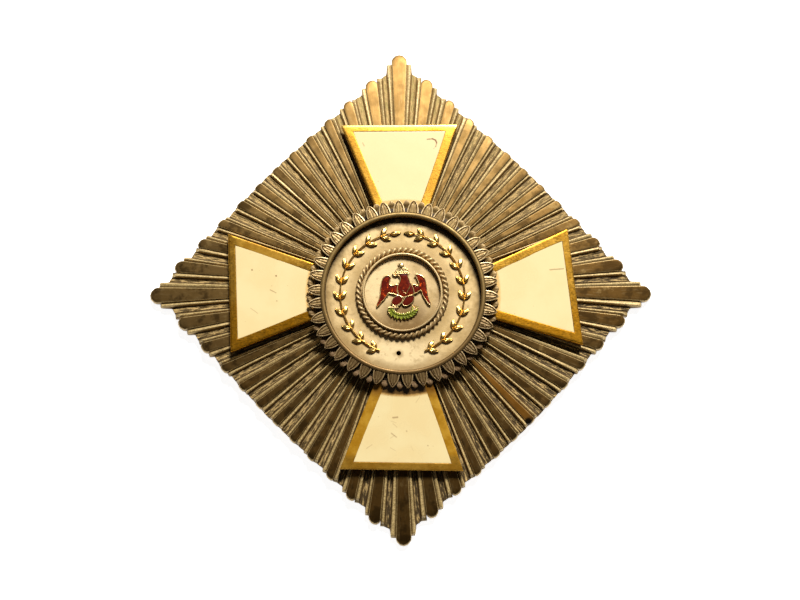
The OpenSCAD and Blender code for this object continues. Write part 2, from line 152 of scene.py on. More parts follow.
def tube(solid, path, radius, sides, closed=False, squash=1.0):
    """Sweeps a round wire along a path. radius is a number or a function of the place from 0 to 1."""
    n = len(path)
    rows = []
    for i, p in enumerate(path):
        before = Vector(path[(i - 1) % n] if closed or i > 0 else path[0])
        after = Vector(path[(i + 1) % n] if closed or i < n - 1 else path[-1])
        ahead = (after - before).normalized()
        across = ahead.cross(Vector((0, 0, 1)))
        if across.length < 1e-6:
            across = Vector((1, 0, 0))
        across.normalize()
        up = across.cross(ahead)
        r = radius(i / (n - 1)) if callable(radius) else radius
        row = []
        for k in range(sides):
            turn = 2 * pi * k / sides
            row.append(tuple(Vector(p) + across * (r * cos(turn)) + up * (r * squash * sin(turn))))
        rows.append(row)
    solid.rows(rows, closed=True, ends=not closed, loop=closed)


def curve_through(points, steps, closed=False):
    """A smooth run of points through the given ones."""
    n = len(points)
    out = []
    for i in range(n if closed else n - 1):
        if closed:
            p = [points[(i + k) % n] for k in (-1, 0, 1, 2)]
        else:
            p = [points[min(n - 1, max(0, i + k))] for k in (-1, 0, 1, 2)]
        for s in range(steps):
            t = s / steps
            out.append(tuple(
                0.5 * (
                    2 * b + (c - a) * t + (2 * a - 5 * b + 4 * c - d) * t * t
                    + (3 * b - a - 3 * c + d) * t * t * t
                )
                for a, b, c, d in zip(*p)
            ))
    if not closed:
        out.append(tuple(points[-1]))
    return out


# Materials

class Wire:
    """A node's output that takes part in plain expressions on values."""

    def __init__(self, look, socket):
        self.look = look
        self.socket = socket

    def maths(self, operation, first, second):
        return self.look.node("ShaderNodeMath", {"operation": operation}, {0: first, 1: second})

    def __add__(self, other):
        return self.maths("ADD", self, other)

    def __radd__(self, other):
        return self.maths("ADD", other, self)

    def __sub__(self, other):
        return self.maths("SUBTRACT", self, other)

    def __rsub__(self, other):
        return self.maths("SUBTRACT", other, self)

    def __mul__(self, other):
        return self.maths("MULTIPLY", self, other)

    def __rmul__(self, other):
        return self.maths("MULTIPLY", other, self)

    def at_least(self, lowest):
        return self.maths("MAXIMUM", self, lowest)

    def root(self):
        return self.look.node("ShaderNodeMath", {"operation": "SQRT"}, {0: self})


class Look:
    """One material: its Principled shader, and the nodes that feed it."""

    def __init__(self, name, **constants):
        self.material = bpy.data.materials.new(name)
        self.material.use_nodes = True
        self.tree = self.material.node_tree
        self.shader = self.tree.nodes["Principled BSDF"]
        for socket, value in constants.items():
            self.shader.inputs[socket.replace("_", " ")].default_value = value

    def node(self, kind, settings, values, output=0):
        made = self.tree.nodes.new(kind)
        for setting, value in settings.items():
            if setting == "stops":
                ramp = made.color_ramp
                while len(ramp.elements) < len(value):
                    ramp.elements.new(0.5)
                for stop, (place, colour) in zip(ramp.elements, value):
                    stop.position = place
                    stop.color = (*colour, 1)
            else:
                setattr(made, setting, value)
        for place, value in values.items():
            self.join(value, made.inputs[place])
        return Wire(self, made.outputs[output])

    def join(self, value, socket):
        if isinstance(value, Wire):
            self.tree.links.new(value.socket, socket)
        elif isinstance(value, tuple) and socket.type == "RGBA":
            socket.default_value = (*value, 1)
        else:
            socket.default_value = value

    def feed(self, **sockets):
        for name, value in sockets.items():
            self.join(value, self.shader.inputs[name.replace("_", " ")])
        return self.material

    def place(self):
        return self.node("ShaderNodeTexCoord", {}, {}, "Object")

    def part(self, vector, axis):
        return self.node("ShaderNodeSeparateXYZ", {}, {0: vector}, axis)

    def mark(self, name):
        return self.node("ShaderNodeAttribute", {"attribute_name": name}, {}, "Fac")

    def measure(self, axis):
        """The place along one axis, in millimetres."""
        return self.part(self.place(), axis) * (1 / MM)

    def noise(self, size, detail, rough, vector=None, twist=0.0):
        """Soft noise from 0 to 1 whose spots are about size millimetres."""
        return self.node(
            "ShaderNodeTexNoise", {"noise_dimensions": "3D"},
            {"Vector": vector or self.place(), "Scale": 1 / (size * MM), "Detail": detail,
             "Roughness": rough, "Distortion": twist},
        )

    def streaks(self, across, along, scale, detail, rough):
        """Noise on a plane of two values, for marks that are long one way and narrow the other."""
        plane = self.node("ShaderNodeCombineXYZ", {}, {0: across, 1: along})
        return self.node(
            "ShaderNodeTexNoise", {"noise_dimensions": "2D"},
            {"Vector": plane, "Scale": scale, "Detail": detail, "Roughness": rough},
        )

    def step(self, value, low, high, start=0.0, end=1.0):
        """Goes smoothly from start to end as the value goes from low to high."""
        return self.node(
            "ShaderNodeMapRange", {"interpolation_type": "SMOOTHSTEP", "clamp": True},
            {0: value, 1: low, 2: high, 3: start, 4: end},
        )

    def blend(self, share, first, second):
        """Goes from the first colour to the second as the share goes from 0 to 1."""
        return self.node(
            "ShaderNodeMix", {"data_type": "RGBA", "blend_type": "MIX", "clamp_factor": True},
            {0: share, 6: first, 7: second}, 2,
        )

    def squeezed(self, x, y, z):
        """Object coordinates scaled unevenly, for streaks."""
        return self.node("ShaderNodeVectorMath", {"operation": "MULTIPLY"}, {0: self.place(), 1: (x, y, z)})

    def around(self, middle):
        """Distance from a middle, in millimetres, and the turn round it in radians."""
        x = self.measure("X") - middle[0]
        y = self.measure("Y") - middle[1]
        return (x * x + y * y).root(), x.maths("ARCTAN2", x, y)

    def bump(self, height, strength, distance, under=None):
        values = {"Height": height, "Strength": strength, "Distance": distance * MM}
        if under is not None:
            values["Normal"] = under
        return self.node("ShaderNodeBump", {}, values, "Normal")


def ray_silver():
    """Tarnished silver of the rays: flat tops with wear, rubbed edges, dirty grooves and pale rough ground,
    with painted light and shade.
    """
    look = Look("ray_silver", Specular_IOR_Level=0.5)
    ground, dirt = look.mark("ground"), look.mark("dirt")
    rub, shade = look.mark("rub"), look.mark("shade")
    north, east = look.measure("Y"), look.measure("X")
    reach, turn = look.around((0, 0))
    cloud = look.noise(2.6, 3, 0.6)
    wide_cloud = look.noise(7, 2, 0.5)
    grain = look.noise(0.16, 2, 0.7)
    coarse = look.noise(0.45, 3, 0.7)
    streak = look.streaks(turn * 60, reach * 0.35, 1.6, 3, 0.6)
    blotch = look.streaks(turn * 12, reach * 0.45, 1.0, 4, 0.62)
    furrow = look.streaks(turn * 20, reach * 0.14, 6.0, 2, 0.6)
    patchy = look.step(cloud, 0.36, 0.68)

    # Flat tops, with painted light and shade: paler towards the top point, browner below and to the lower
    # right
    upper = look.blend(patchy, (0.215, 0.128, 0.042), (0.16, 0.093, 0.028))
    lower = look.blend(patchy, (0.15, 0.076, 0.018), (0.105, 0.055, 0.0135))
    painted_light_top, painted_shade_right, dull_ray = (0.305, 0.172, 0.053), (0.06, 0.032, 0.009), (0.10, 0.058, 0.018)
    top = look.blend(look.step(north - east * 0.4 + wide_cloud * 16, -3, 19), lower, upper)
    top = look.blend(look.step(north, 19, 31), top, painted_light_top)
    top = look.blend(look.step(east - north * 0.5, 12, 26, 0, 0.3), top, painted_shade_right)
    top = look.blend(look.step(shade + cloud * 0.6, 0.7, 1.4, 0, 0.6), top, dull_ray)

    # Tarnish along the rays, and one amber patch at the lower right
    pale_streak, dark_blotch, pale_blotch = (0.34, 0.25, 0.12), (0.045, 0.024, 0.007), (0.30, 0.195, 0.07)
    top = look.blend(look.step(streak, 0.52, 0.75, 0, 0.2), top, pale_streak)
    tarnish = look.step(blotch, 0.47, 0.64, 0, 0.75) * look.step(north, 20, 10, 0.35, 1)
    top = look.blend(tarnish, top, dark_blotch)
    top = look.blend(look.step(blotch + grain * 0.25, 0.52, 0.38, 0, 0.5), top, pale_blotch)
    amber_turn = 2.36
    amber = look.step(((turn - amber_turn) * (turn - amber_turn)).root(), 0.04, 0.07, 0.65, 0.0)
    amber = amber * look.step(reach, 13, 17, 0.5, 1) * look.step(reach, 22, 24, 1, 0.4)
    top = look.blend(amber, top, (0.30, 0.125, 0.016))

    # Edges that wear has rubbed bright
    crest = look.blend(look.step(grain + coarse * 0.6, 0.6, 1.0), (0.36, 0.245, 0.09), (0.70, 0.51, 0.215))
    top = look.blend(rub * look.step(grain + cloud, 0.7, 1.1, 0.75, 1.0), top, crest)

    # Rough ground: pale sand over dark pits, paler near the top with painted light, darker below and lower
    # right with painted shade
    pit_with_painted_light = look.blend(look.step(north, -4, 14), (0.10, 0.06, 0.016), (0.22, 0.145, 0.05))
    pit_with_painted_light = look.blend(look.step(north, 17, 25), pit_with_painted_light, (0.43, 0.32, 0.11))
    painted_shade = look.step(east - north, 8, 24, 0, 0.05)
    pit_with_painted_light = look.blend(painted_shade * 12, pit_with_painted_light, (0.05, 0.03, 0.009))
    sand = look.blend(look.step(furrow + grain * 0.3 - painted_shade, 0.55, 0.78), pit_with_painted_light, (0.55, 0.375, 0.145))

    # Dirt in the grooves, paler near the top point with painted light, and one dark chip
    groove_dirt_with_painted_light = look.blend(look.step(north, 17, 25), (0.055, 0.028, 0.008), (0.25, 0.16, 0.055))
    grime = look.blend(look.step(dirt + grain * 0.4 - 0.2, 0.2, 0.95), top, groove_dirt_with_painted_light)
    colour = look.blend(ground * (1 - dirt), grime, sand)
    from_chip, _ = look.around((16.35, -16.8))
    chip = look.step(from_chip + grain * 0.2 - 0.1, 0.3, 0.6, 0.95, 0)
    colour = look.blend(chip, colour, (0.008, 0.006, 0.004))

    rough = look.step(cloud, 0.3, 0.7, 0.46, 0.54) + ground * 0.16 + dirt * 0.15
    metal = 1 - ground * 0.55 - dirt * 0.5 - rub * (1 - ground) * 0.75
    normal = look.bump(grain, ground * 0.9 + 0.06, 0.05)
    normal = look.bump(furrow, ground, 0.14, normal)
    normal = look.bump(streak, 0.12, 0.04, normal)
    return look.feed(Base_Color=colour, Roughness=rough, Metallic=metal, Normal=normal)


def gilt_metal(name, bright, shaded, dirt, scratch):
    """Gilding with wear, fine file strokes and browner hollows, and with painted light and shade on the
    arms.
    """
    look = Look(name, Specular_IOR_Level=0.5)
    low = look.mark("low")
    north, east = look.measure("Y"), look.measure("X")
    cloud = look.noise(1.8, 3, 0.6)
    spots = look.noise(0.5, 2, 0.6)
    strokes = look.noise(0.12, 2, 0.6, look.squeezed(0.35, 1.4, 1), 0.6)
    patchy = look.step(cloud, 0.38, 0.66)
    colour = look.blend(patchy, bright, shaded)

    # Painted shade browns the top arm's sides; painted light makes the bottom arm and the left arm's upper
    # part less metallic
    upper = look.step(north, 9, 14) * look.step(north, 21.6, 20.4, 0.1, 0.85)
    colour = look.blend(upper, colour, (0.33, 0.165, 0.022))
    wear_and_painted_light = look.step(north, -11, -14) * look.step(north, -20.8, -21.6, 1, 0.38)
    wear_and_painted_light += look.step(east, -11, -14) * look.step(north, 2.5, 4) * look.step(east, -20.4, -21.4, 0.6, 0)
    colour = look.blend(wear_and_painted_light, colour, look.blend(patchy, (0.60, 0.315, 0.025), (0.44, 0.20, 0.004)))
    # Painted shade: a deeper orange on the lower halves of the side arms, where less sheen falls
    beside = look.step(east * east, 110, 150)
    colour = look.blend(beside * look.step(north, 0, -3, 0, 0.7), colour, (0.62, 0.26, 0.006))

    # A painted highlight on the top arm's outer rim, and a painted shadow of the medallion on the bottom arm
    colour = look.blend(look.step(north, 21.6, 22.2, 0, 0.7), colour, (0.90, 0.64, 0.20))
    near, _ = look.around(MEDALLION)
    medallion_painted_shadow = look.step(north, -11, -12) * look.step(near, 12.6, 14.5, 0.75, 0)
    colour = look.blend(medallion_painted_shadow, colour, (0.16, 0.05, 0.003))

    colour = look.blend(look.step(spots, 0.62, 0.75, 0, 0.3), colour, dirt)
    colour = look.blend(look.step(low, 0.1, 1.0, 0, 0.9), colour, dirt)
    rough = look.step(strokes, 0.3, 0.75, 0.27, 0.42) + look.step(low, 0.2, 1.0, 0, 0.2)
    normal = look.bump(strokes, scratch, 0.03)
    normal = look.bump(cloud, 0.3, 0.06, normal)
    return look.feed(Base_Color=colour, Roughness=rough, Metallic=1 - wear_and_painted_light * 0.8, Normal=normal)


def trim_silver(name, bright, dark, crest, hollow, painted_shade, polish, metal):
    """Silver of the rim, leaves, rope and lip: rubbed edges, brown hollows, and painted shade over the lower
    half.
    """
    look = Look(name, Specular_IOR_Level=0.5)
    low, rub = look.mark("low"), look.mark("rub")
    cloud = look.noise(1.4, 3, 0.6)
    grain = look.noise(0.2, 2, 0.6)
    # Painted shade: the lower half is darker, less rubbed and browner
    south = look.step(look.measure("Y") + cloud * 4, 6, -9)
    colour = look.blend(look.step(cloud + south * 0.15, 0.36, 0.68), bright, dark)
    rubbed = rub * look.step(grain + cloud * 0.6 - south * 0.3, 0.5, 0.9, 0.3, 0.95)
    colour = look.blend(rubbed, colour, crest)
    colour = look.blend(south * (0.75 - rub * 0.35), colour, painted_shade)
    colour = look.blend(look.step(low + grain * 0.3 - 0.15, 0.2, 1.0), colour, hollow)
    # Painted shade: the ring under the leaves, marked past 1, is near black
    colour = look.blend(look.step(low, 1.1, 1.9), colour, (0.045, 0.025, 0.008))
    rough = look.step(cloud, 0.3, 0.7, polish, polish + 0.1) + look.step(low, 0.2, 1, 0, 0.2)
    normal = look.bump(grain, 0.12, 0.03)
    return look.feed(Base_Color=colour, Roughness=rough, Metallic=metal, Normal=normal)


def matt_silver(name, bright, dark, stains_and_painted_shadows):
    """Pale satin silver of a disc, with stained patches and painted shadows.

    Each patch has its middle, the two distances it changes between, its share at each, and its colour.
    """
    look = Look(name, Specular_IOR_Level=0.5)
    cloud = look.noise(2.2, 3, 0.62)
    spots = look.noise(0.7, 2, 0.6)
    grain = look.noise(0.11, 2, 0.6)
    colour = look.blend(look.step(cloud, 0.34, 0.66), bright, dark)
    for spot, near, far, share, patch_colour in stains_and_painted_shadows:
        reach, _ = look.around(spot)
        colour = look.blend(look.step(reach + cloud * 1.6 - 0.8, near, far, *share), colour, patch_colour)
    colour = look.blend(look.step(spots, 0.52, 0.72, 0, 0.5), colour, (0.40, 0.27, 0.11))
    rough = look.step(grain, 0.3, 0.7, 0.44, 0.58)
    normal = look.bump(grain, 0.25, 0.02)
    normal = look.bump(cloud, 0.2, 0.05, normal)
    return look.feed(Base_Color=colour, Roughness=rough, Metallic=0.5, Normal=normal)


# Old scratches and specks in the enamel, in millimetres.
# Columns: first end x, first end y, last end x, last end y, width, depth
SCRATCHES = (
    (3.60, 20.17, 4.26, 20.25, 0.10, 0.8), (4.26, 20.25, 4.68, 20.05, 0.12, 1.0),
    (4.68, 20.05, 4.83, 19.70, 0.12, 1.0), (4.83, 19.70, 4.72, 19.15, 0.09, 0.6),
    (4.72, 19.15, 4.43, 18.85, 0.07, 0.3), (-4.88, 19.67, -4.68, 19.25, 0.10, 0.4),
    (19.32, 2.64, 21.13, 2.81, 0.09, 0.6),
    (-0.85, -16.47, -0.30, -16.43, 0.14, 0.55), (-1.11, -16.92, -0.48, -17.10, 0.08, 0.15),
    (-0.36, -17.66, -0.86, -17.22, 0.08, 0.22), (-1.08, -18.42, -0.45, -18.90, 0.10, 0.42),
    (-1.16, -19.03, -0.61, -18.65, 0.08, 0.2), (-4.21, -20.33, -3.50, -19.85, 0.07, 0.25),
    (-1.18, -20.24, -0.56, -20.60, 0.07, 0.22), (1.40, -20.06, 1.70, -20.60, 0.06, 0.15),
    (2.05, -14.55, 2.52, -13.84, 0.07, 0.25), (3.51, -19.96, 3.53, -19.98, 0.12, 0.4),
    (0.85, -18.14, 0.87, -18.16, 0.12, 0.4),
    (-19.06, 2.63, -19.04, 2.61, 0.14, 0.7), (-15.93, 1.80, -15.91, 1.78, 0.14, 0.8),
    (-16.65, -0.04, -15.89, -0.43, 0.08, 0.5), (-15.79, -1.47, -15.77, -1.49, 0.12, 0.4),
    (-19.14, -2.39, -18.20, -3.06, 0.07, 0.3),
)


def scratched(look, x, y, ragged):
    """How deep a scratch is at a place, summed over all of them."""
    wear_and_painted_light = 0.0
    for x0, y0, x1, y1, wide, depth in SCRATCHES:
        length = hypot(x1 - x0, y1 - y0)
        dx, dy = (x1 - x0) / length, (y1 - y0) / length
        along = (x - (x0 + x1) / 2) * dx + (y - (y0 + y1) / 2) * dy
        across = (x - x0) * dy - (y - y0) * dx
        beyond = ((along * along).root() - length / 2).at_least(0.0)
        away = (across * across + beyond * beyond).root()
        wear_and_painted_light = look.step(away + ragged * 0.08 - 0.04, wide * 0.4, wide * 1.2, depth, 0) + wear_and_painted_light
    return wear_and_painted_light


def white_enamel():
    """Old cream enamel: glossy, faintly clouded, scratched, browner at the gilding, with the collar's
    painted reflection and shadow.
    """
    look = Look("white_enamel", Coat_Roughness=0.06, Specular_IOR_Level=0.5, Metallic=0.0)
    edge = look.mark("low")
    cloud = look.noise(4.5, 3, 0.55)
    fleck = look.noise(0.33, 1, 0.5)
    ragged = look.noise(0.25, 2, 0.6)
    x, y = look.measure("X"), look.measure("Y")
    colour = look.blend(look.step(cloud, 0.35, 0.68), (0.93, 0.755, 0.39), (0.90, 0.70, 0.34))
    colour = look.blend(look.step(fleck, 0.77, 0.82, 0, 0.4), colour, (0.42, 0.22, 0.07))
    colour = look.blend(scratched(look, x, y, ragged), colour, (0.30, 0.14, 0.05))
    colour = look.blend(look.step(edge, 0.2, 1.0, 0, 0.35), colour, (0.50, 0.32, 0.11))

    # A painted warm reflection of the collar by the medallion, wider on the bottom arm, with the collar's
    # painted shadow there
    reach, _ = look.around(MEDALLION)
    south = look.step(y, -8, -11)
    fringe = reach - south * 0.55 + ragged * 0.2 - 0.1
    glow = look.step(fringe - south * 0.2, 12.3, 12.65, 0.8, 0)
    colour = look.blend(glow, colour, look.blend(south, (0.80, 0.46, 0.13), (0.40, 0.175, 0.012)))
    colour = look.blend(look.step(fringe, 12.3, 12.55, 0.9, 0) * south, colour, (0.07, 0.03, 0.004))

    rough = look.step(cloud, 0.3, 0.7, 0.2, 0.3)
    normal = look.bump(cloud, 0.12, 0.1)
    return look.feed(Base_Color=colour, Roughness=rough, Coat_Weight=0.5, Normal=normal)


def glass_enamel(name, deep, glow, spark, size):
    """Coloured enamel over engraved gold: deep colour with warm glints from below."""
    look = Look(name, Coat_Roughness=0.1, Specular_IOR_Level=0.15)
    edge, shade = look.mark("low"), look.mark("shade")
    patch = look.noise(size, 2, 0.5)
    glint = look.noise(size * 0.62, 1, 0.5)
    colour = look.blend(look.step(patch, 0.4, 0.66), deep, glow)
    colour = look.blend(look.step(glint, 0.62, 0.72) * (1 - shade), colour, spark)
    colour = look.blend(shade, colour, deep)
    colour = look.blend(look.step(edge, 0.3, 1.0, 0, 0.8), colour, deep)
    normal = look.bump(patch, 0.25, 0.05)
    return look.feed(Base_Color=colour, Roughness=0.3, Coat_Weight=0.08, Normal=normal)


def pin_metal():
    """Plain drawn silver of the pin, with fine lines along it."""
    look = Look("pin_metal", Specular_IOR_Level=0.5, Metallic=1.0)
    cloud = look.noise(1.5, 3, 0.6)
    draw = look.noise(0.15, 2, 0.6, look.squeezed(1, 0.08, 1))
    colour = look.blend(look.step(cloud, 0.38, 0.68), (0.50, 0.42, 0.29), (0.30, 0.22, 0.12))
    normal = look.bump(draw, 0.2, 0.03)
    return look.feed(Base_Color=colour, Roughness=look.step(draw, 0.3, 0.7, 0.32, 0.45), Normal=normal)


def pale_paper():
    """The white ground. It glows, so that it stays white under the one small lamp."""
    look = Look("pale_paper", Roughness=0.9, Specular_IOR_Level=0.1, Emission_Strength=0.96)
    cloud = look.noise(60, 2, 0.5)
    colour = look.blend(look.step(cloud, 0.3, 0.7), (0.93, 0.93, 0.93), (0.95, 0.95, 0.95))
    return look.feed(Base_Color=colour, Emission_Color=colour)


# Star

# How far the middle of each hand-cut side swells, clockwise from the upper right side
SIDE_SWELL = (0.15, 0.66, 0.13, 0.22)


def rhomb_r(angle):
    """Distance from the middle to the rhomb through the four points."""
    a = radians(angle)
    swell = SIDE_SWELL[int(angle % 360 // 90)]
    return STAR_R / (abs(sin(a)) + abs(cos(a))) + swell * abs(sin(2 * a))


def ray_top(r):
    return TOP_POINT + (TOP_MIDDLE - TOP_POINT) * (1 - (r / VAULT_R) ** 2)


def back_z(r):
    return max(0.0, HOLLOW_H * (1 - (r / FOOT_R) ** 2))


# How far the hand-cut rays stray clockwise from even spacing, in degrees, at even steps round the star.
# Columns: stray near the star's edge, stray near the medallion
RAY_STRAY = (
    (-0.1, 0.0), (-0.4, -0.8), (0.5, 1.0), (0.5, 1.5),
    (0.1, 0.2), (-0.1, -0.5), (0.0, -0.3), (-0.6, 0.0),
    (-0.9, -1.0), (-2.1, -3.0), (-2.0, -3.2), (-1.5, -1.6),
    (-0.5, -0.6), (-1.0, -1.3), (0.1, 0.1), (-0.1, 0.7),
)
STRAY_STEP = 360 / len(RAY_STRAY)
STRAY_EDGE_R = 23
STRAY_INNER_R = 14


def strayed(angle, r):
    """Heading of a straight ray at a radius, when it would lie at this heading in an even star."""
    place = angle % 360 / STRAY_STEP
    i = int(place)
    here, after = RAY_STRAY[i % len(RAY_STRAY)], RAY_STRAY[(i + 1) % len(RAY_STRAY)]
    edge, inner = mix(here[0], after[0], place - i), mix(here[1], after[1], place - i)
    r = max(r, START_R)
    share = (1 / STRAY_INNER_R - 1 / r) / (1 / STRAY_INNER_R - 1 / STRAY_EDGE_R)
    return angle + mix(inner, edge, share)


# Half of one pitch at the middle of a side. Columns: place in degrees from the ray's middle,
# depth as a share of the relief, dirt, and how far wear has rubbed it bright
RAY_SECTION = (
    (0.00, 0.00, 0.0, 0.0), (0.50, 0.00, 0.0, 0.0), (0.90, 0.00, 0.0, 0.0), (1.00, 0.01, 0.0, 0.5),
    (1.05, 0.06, 0.0, 1.0), (1.09, 0.20, 0.2, 0.4), (1.13, 0.36, 0.6, 0.0), (1.20, 0.42, 0.7, 0.0),
    (1.29, 0.38, 0.4, 0.2), (1.41, 0.30, 0.1, 0.6), (1.54, 0.21, 0.0, 0.9), (1.68, 0.13, 0.0, 1.0),
    (1.82, 0.09, 0.0, 1.0), (1.95, 0.10, 0.0, 1.0), (2.06, 0.18, 0.0, 0.9), (2.16, 0.38, 0.0, 0.7),
    (2.27, 0.64, 0.2, 0.3), (2.41, 0.85, 0.6, 0.0), (2.57, 0.97, 0.8, 0.0), (2.74, 1.00, 0.5, 0.0),
    (2.92, 1.00, 0.1, 0.0), (3.12, 1.00, 0.0, 0.0), (3.43, 1.00, 0.0, 0.0),
)
# Places in that section: the end of the flat top, the ridge, and the start of the rough ground
RAY_HALF = 1.08
RIDGE = 1.85
GROUND = 2.55
# Where the punch has thrown up a thin burr along some of the rays
BURR = 2.92
BURR_H = 0.16
# The flat tops widen outwards along lines that meet at this radius
TAPER_R = 5
TAPER = 1.5
# How much wider they are, from the four points to the rays further off
TOP_WIDENED = (1.48, 1.32, 1.22, 1.10)
# How long the round end of a ray's flat top is, from the four points to the middle of a side
ROUND_ENDS = (1.15, 1.05, 0.85, 0.65, 0.5, 0.42, 0.38)
# How far short of the rhomb a flat top, a ridge's end, the edge at the ridge and the edge at the ground stay
TOP_SHORT = 0.08
RIDGE_SHORT = 0.30
RIDGE_EDGE_SHORT = 0.12
GROUND_SHORT = 0.05
# How far those places draw back towards a shorter neighbour, and reach out towards a longer one,
# as shares of the difference
RIDGE_FOLLOWS = 0.36
GROUND_FOLLOWS = 0.78
FOLLOWS_LONGER = 0.1


def ray_steps(k):
    """How many rays ray k is away from the nearest of the four points."""
    quarter = RAYS // 4
    near = k % quarter
    return min(near, quarter - near)


def own_end(k):
    return rhomb_r(strayed(k * PITCH, STRAY_EDGE_R))


def plate_end(k, x):
    """Radius of the plate's edge at a place in the section of ray k."""
    side = 1 if x >= 0 else -1
    own, beside = own_end(k), own_end(k + side)
    down, up = max(0.0, own - beside), max(0.0, beside - own)
    wide = abs(x)
    ground_own = own - GROUND_SHORT - GROUND_FOLLOWS * down + FOLLOWS_LONGER * up
    ground_other = beside - GROUND_SHORT - GROUND_FOLLOWS * up + FOLLOWS_LONGER * down
    if wide >= GROUND:
        return mix(ground_own, ground_other, (wide - GROUND) / (PITCH - 2 * GROUND))
    ridge = own - RIDGE_EDGE_SHORT - RIDGE_FOLLOWS * down + FOLLOWS_LONGER * up
    past_ridge = RIDGE + 0.18
    if wide > past_ridge:
        return mix(ridge, ground_own, smooth(past_ridge, GROUND, wide))
    if wide > RAY_HALF:
        return max(ridge, top_end(k, x))
    return top_end(k, x) + TOP_SHORT


def top_end(k, x):
    """Radius where the flat top or the ridge ends, inside the plate's edge."""
    own = own_end(k)
    side = 1 if x >= 0 else -1
    steps = ray_steps(k)
    wide = abs(x)
    if wide < RAY_HALF:
        skew = min(1.0, steps / 3)
        line = mix(own, rhomb_r(strayed(k * PITCH + x, STRAY_EDGE_R)), skew)
        power = 2.0 + 0.35 * steps
        arch = max(0.0, 1 - (wide / RAY_HALF) ** power) ** (1 / power)
        return line - TOP_SHORT - ROUND_ENDS[steps] * (1 - arch)
    down = max(0.0, own - own_end(k + side))
    return own - RIDGE_SHORT - RIDGE_FOLLOWS * down


# One line of points from the middle to the edge: its ray, its place in that ray's section, and what it has
RayLine = namedtuple("RayLine", "k x depth dirt rub tilt shade lift moved")


def ray_lines():
    """All the lines of the star's face, clockwise, each ray a little different from the next."""
    draw = random.Random(11)
    half = [(-x, *rest) for x, *rest in reversed(RAY_SECTION[1:])]
    lines = []
    for k in range(RAYS):
        tilt = draw.uniform(-0.012, 0.012)
        shade = draw.random()
        lift = draw.uniform(-0.02, 0.015)
        stray = {-1: draw.uniform(-0.26, 0.14), 1: draw.uniform(-0.14, 0.26)}
        groove = {-1: draw.uniform(0.5, 1.25), 1: draw.uniform(0.5, 1.25)}
        burr = {-1: draw.choice((0, 0, 0.5, 1)), 1: draw.choice((0, 0, 0.5, 1))}
        for x, depth, dirt, rub in half + list(RAY_SECTION):
            side = 1 if x > 0 else -1
            moved = stray[side] * smooth(1.3, RIDGE, abs(x)) * (1 - smooth(2.8, 3.4, abs(x)))
            if RAY_HALF < abs(x) < 1.6:
                depth, dirt = depth * groove[side], dirt * groove[side]
            if abs(x) == BURR:
                depth, rub = depth - BURR_H * burr[side], burr[side]
            lines.append(RayLine(k, x, depth, dirt, rub, tilt, shade, lift, moved))
    return lines


def line_heading(r, line):
    """Heading of a line at a radius, with the flat top widened and the ridges beside it moved out."""
    widened = TOP_WIDENED[min(len(TOP_WIDENED) - 1, ray_steps(line.k))]
    spread = TAPER * widened * (1 - TAPER_R / max(r, START_R)) - RAY_HALF
    wide = abs(line.x)
    share = wide / RAY_HALF if wide < RAY_HALF else 1 - smooth(2.2, PITCH / 2, wide)
    x = line.x + (spread * share * (1 if line.x > 0 else -1) + line.moved)
    return strayed(line.k * PITCH + x, r)


def line_height(r, line, sunk):
    """Height of a line at a radius. sunk is how deep a ray's end has dipped, as a share of the relief."""
    k, x = line.k, line.x
    z = ray_top(r) - max(line.depth, sunk) * RELIEF
    if abs(x) < RAY_HALF:
        wave = 0.014 * noise.noise(Vector((k * 3.7, r * 0.5, x * 0.3)))
        z += line.tilt * x / RAY_HALF + line.lift * smooth(13, 20, r) + wave
    elif abs(x) < GROUND:
        z += 0.05 * noise.noise(Vector((k * 5.1 + x, r * 1.1, 3))) - 0.02
    else:
        spot = Vector(polar(r, k * PITCH + x, 0))
        z += 0.09 * noise.noise(spot * 2.2) + 0.06 * noise.noise(spot * 5.0)
    return z


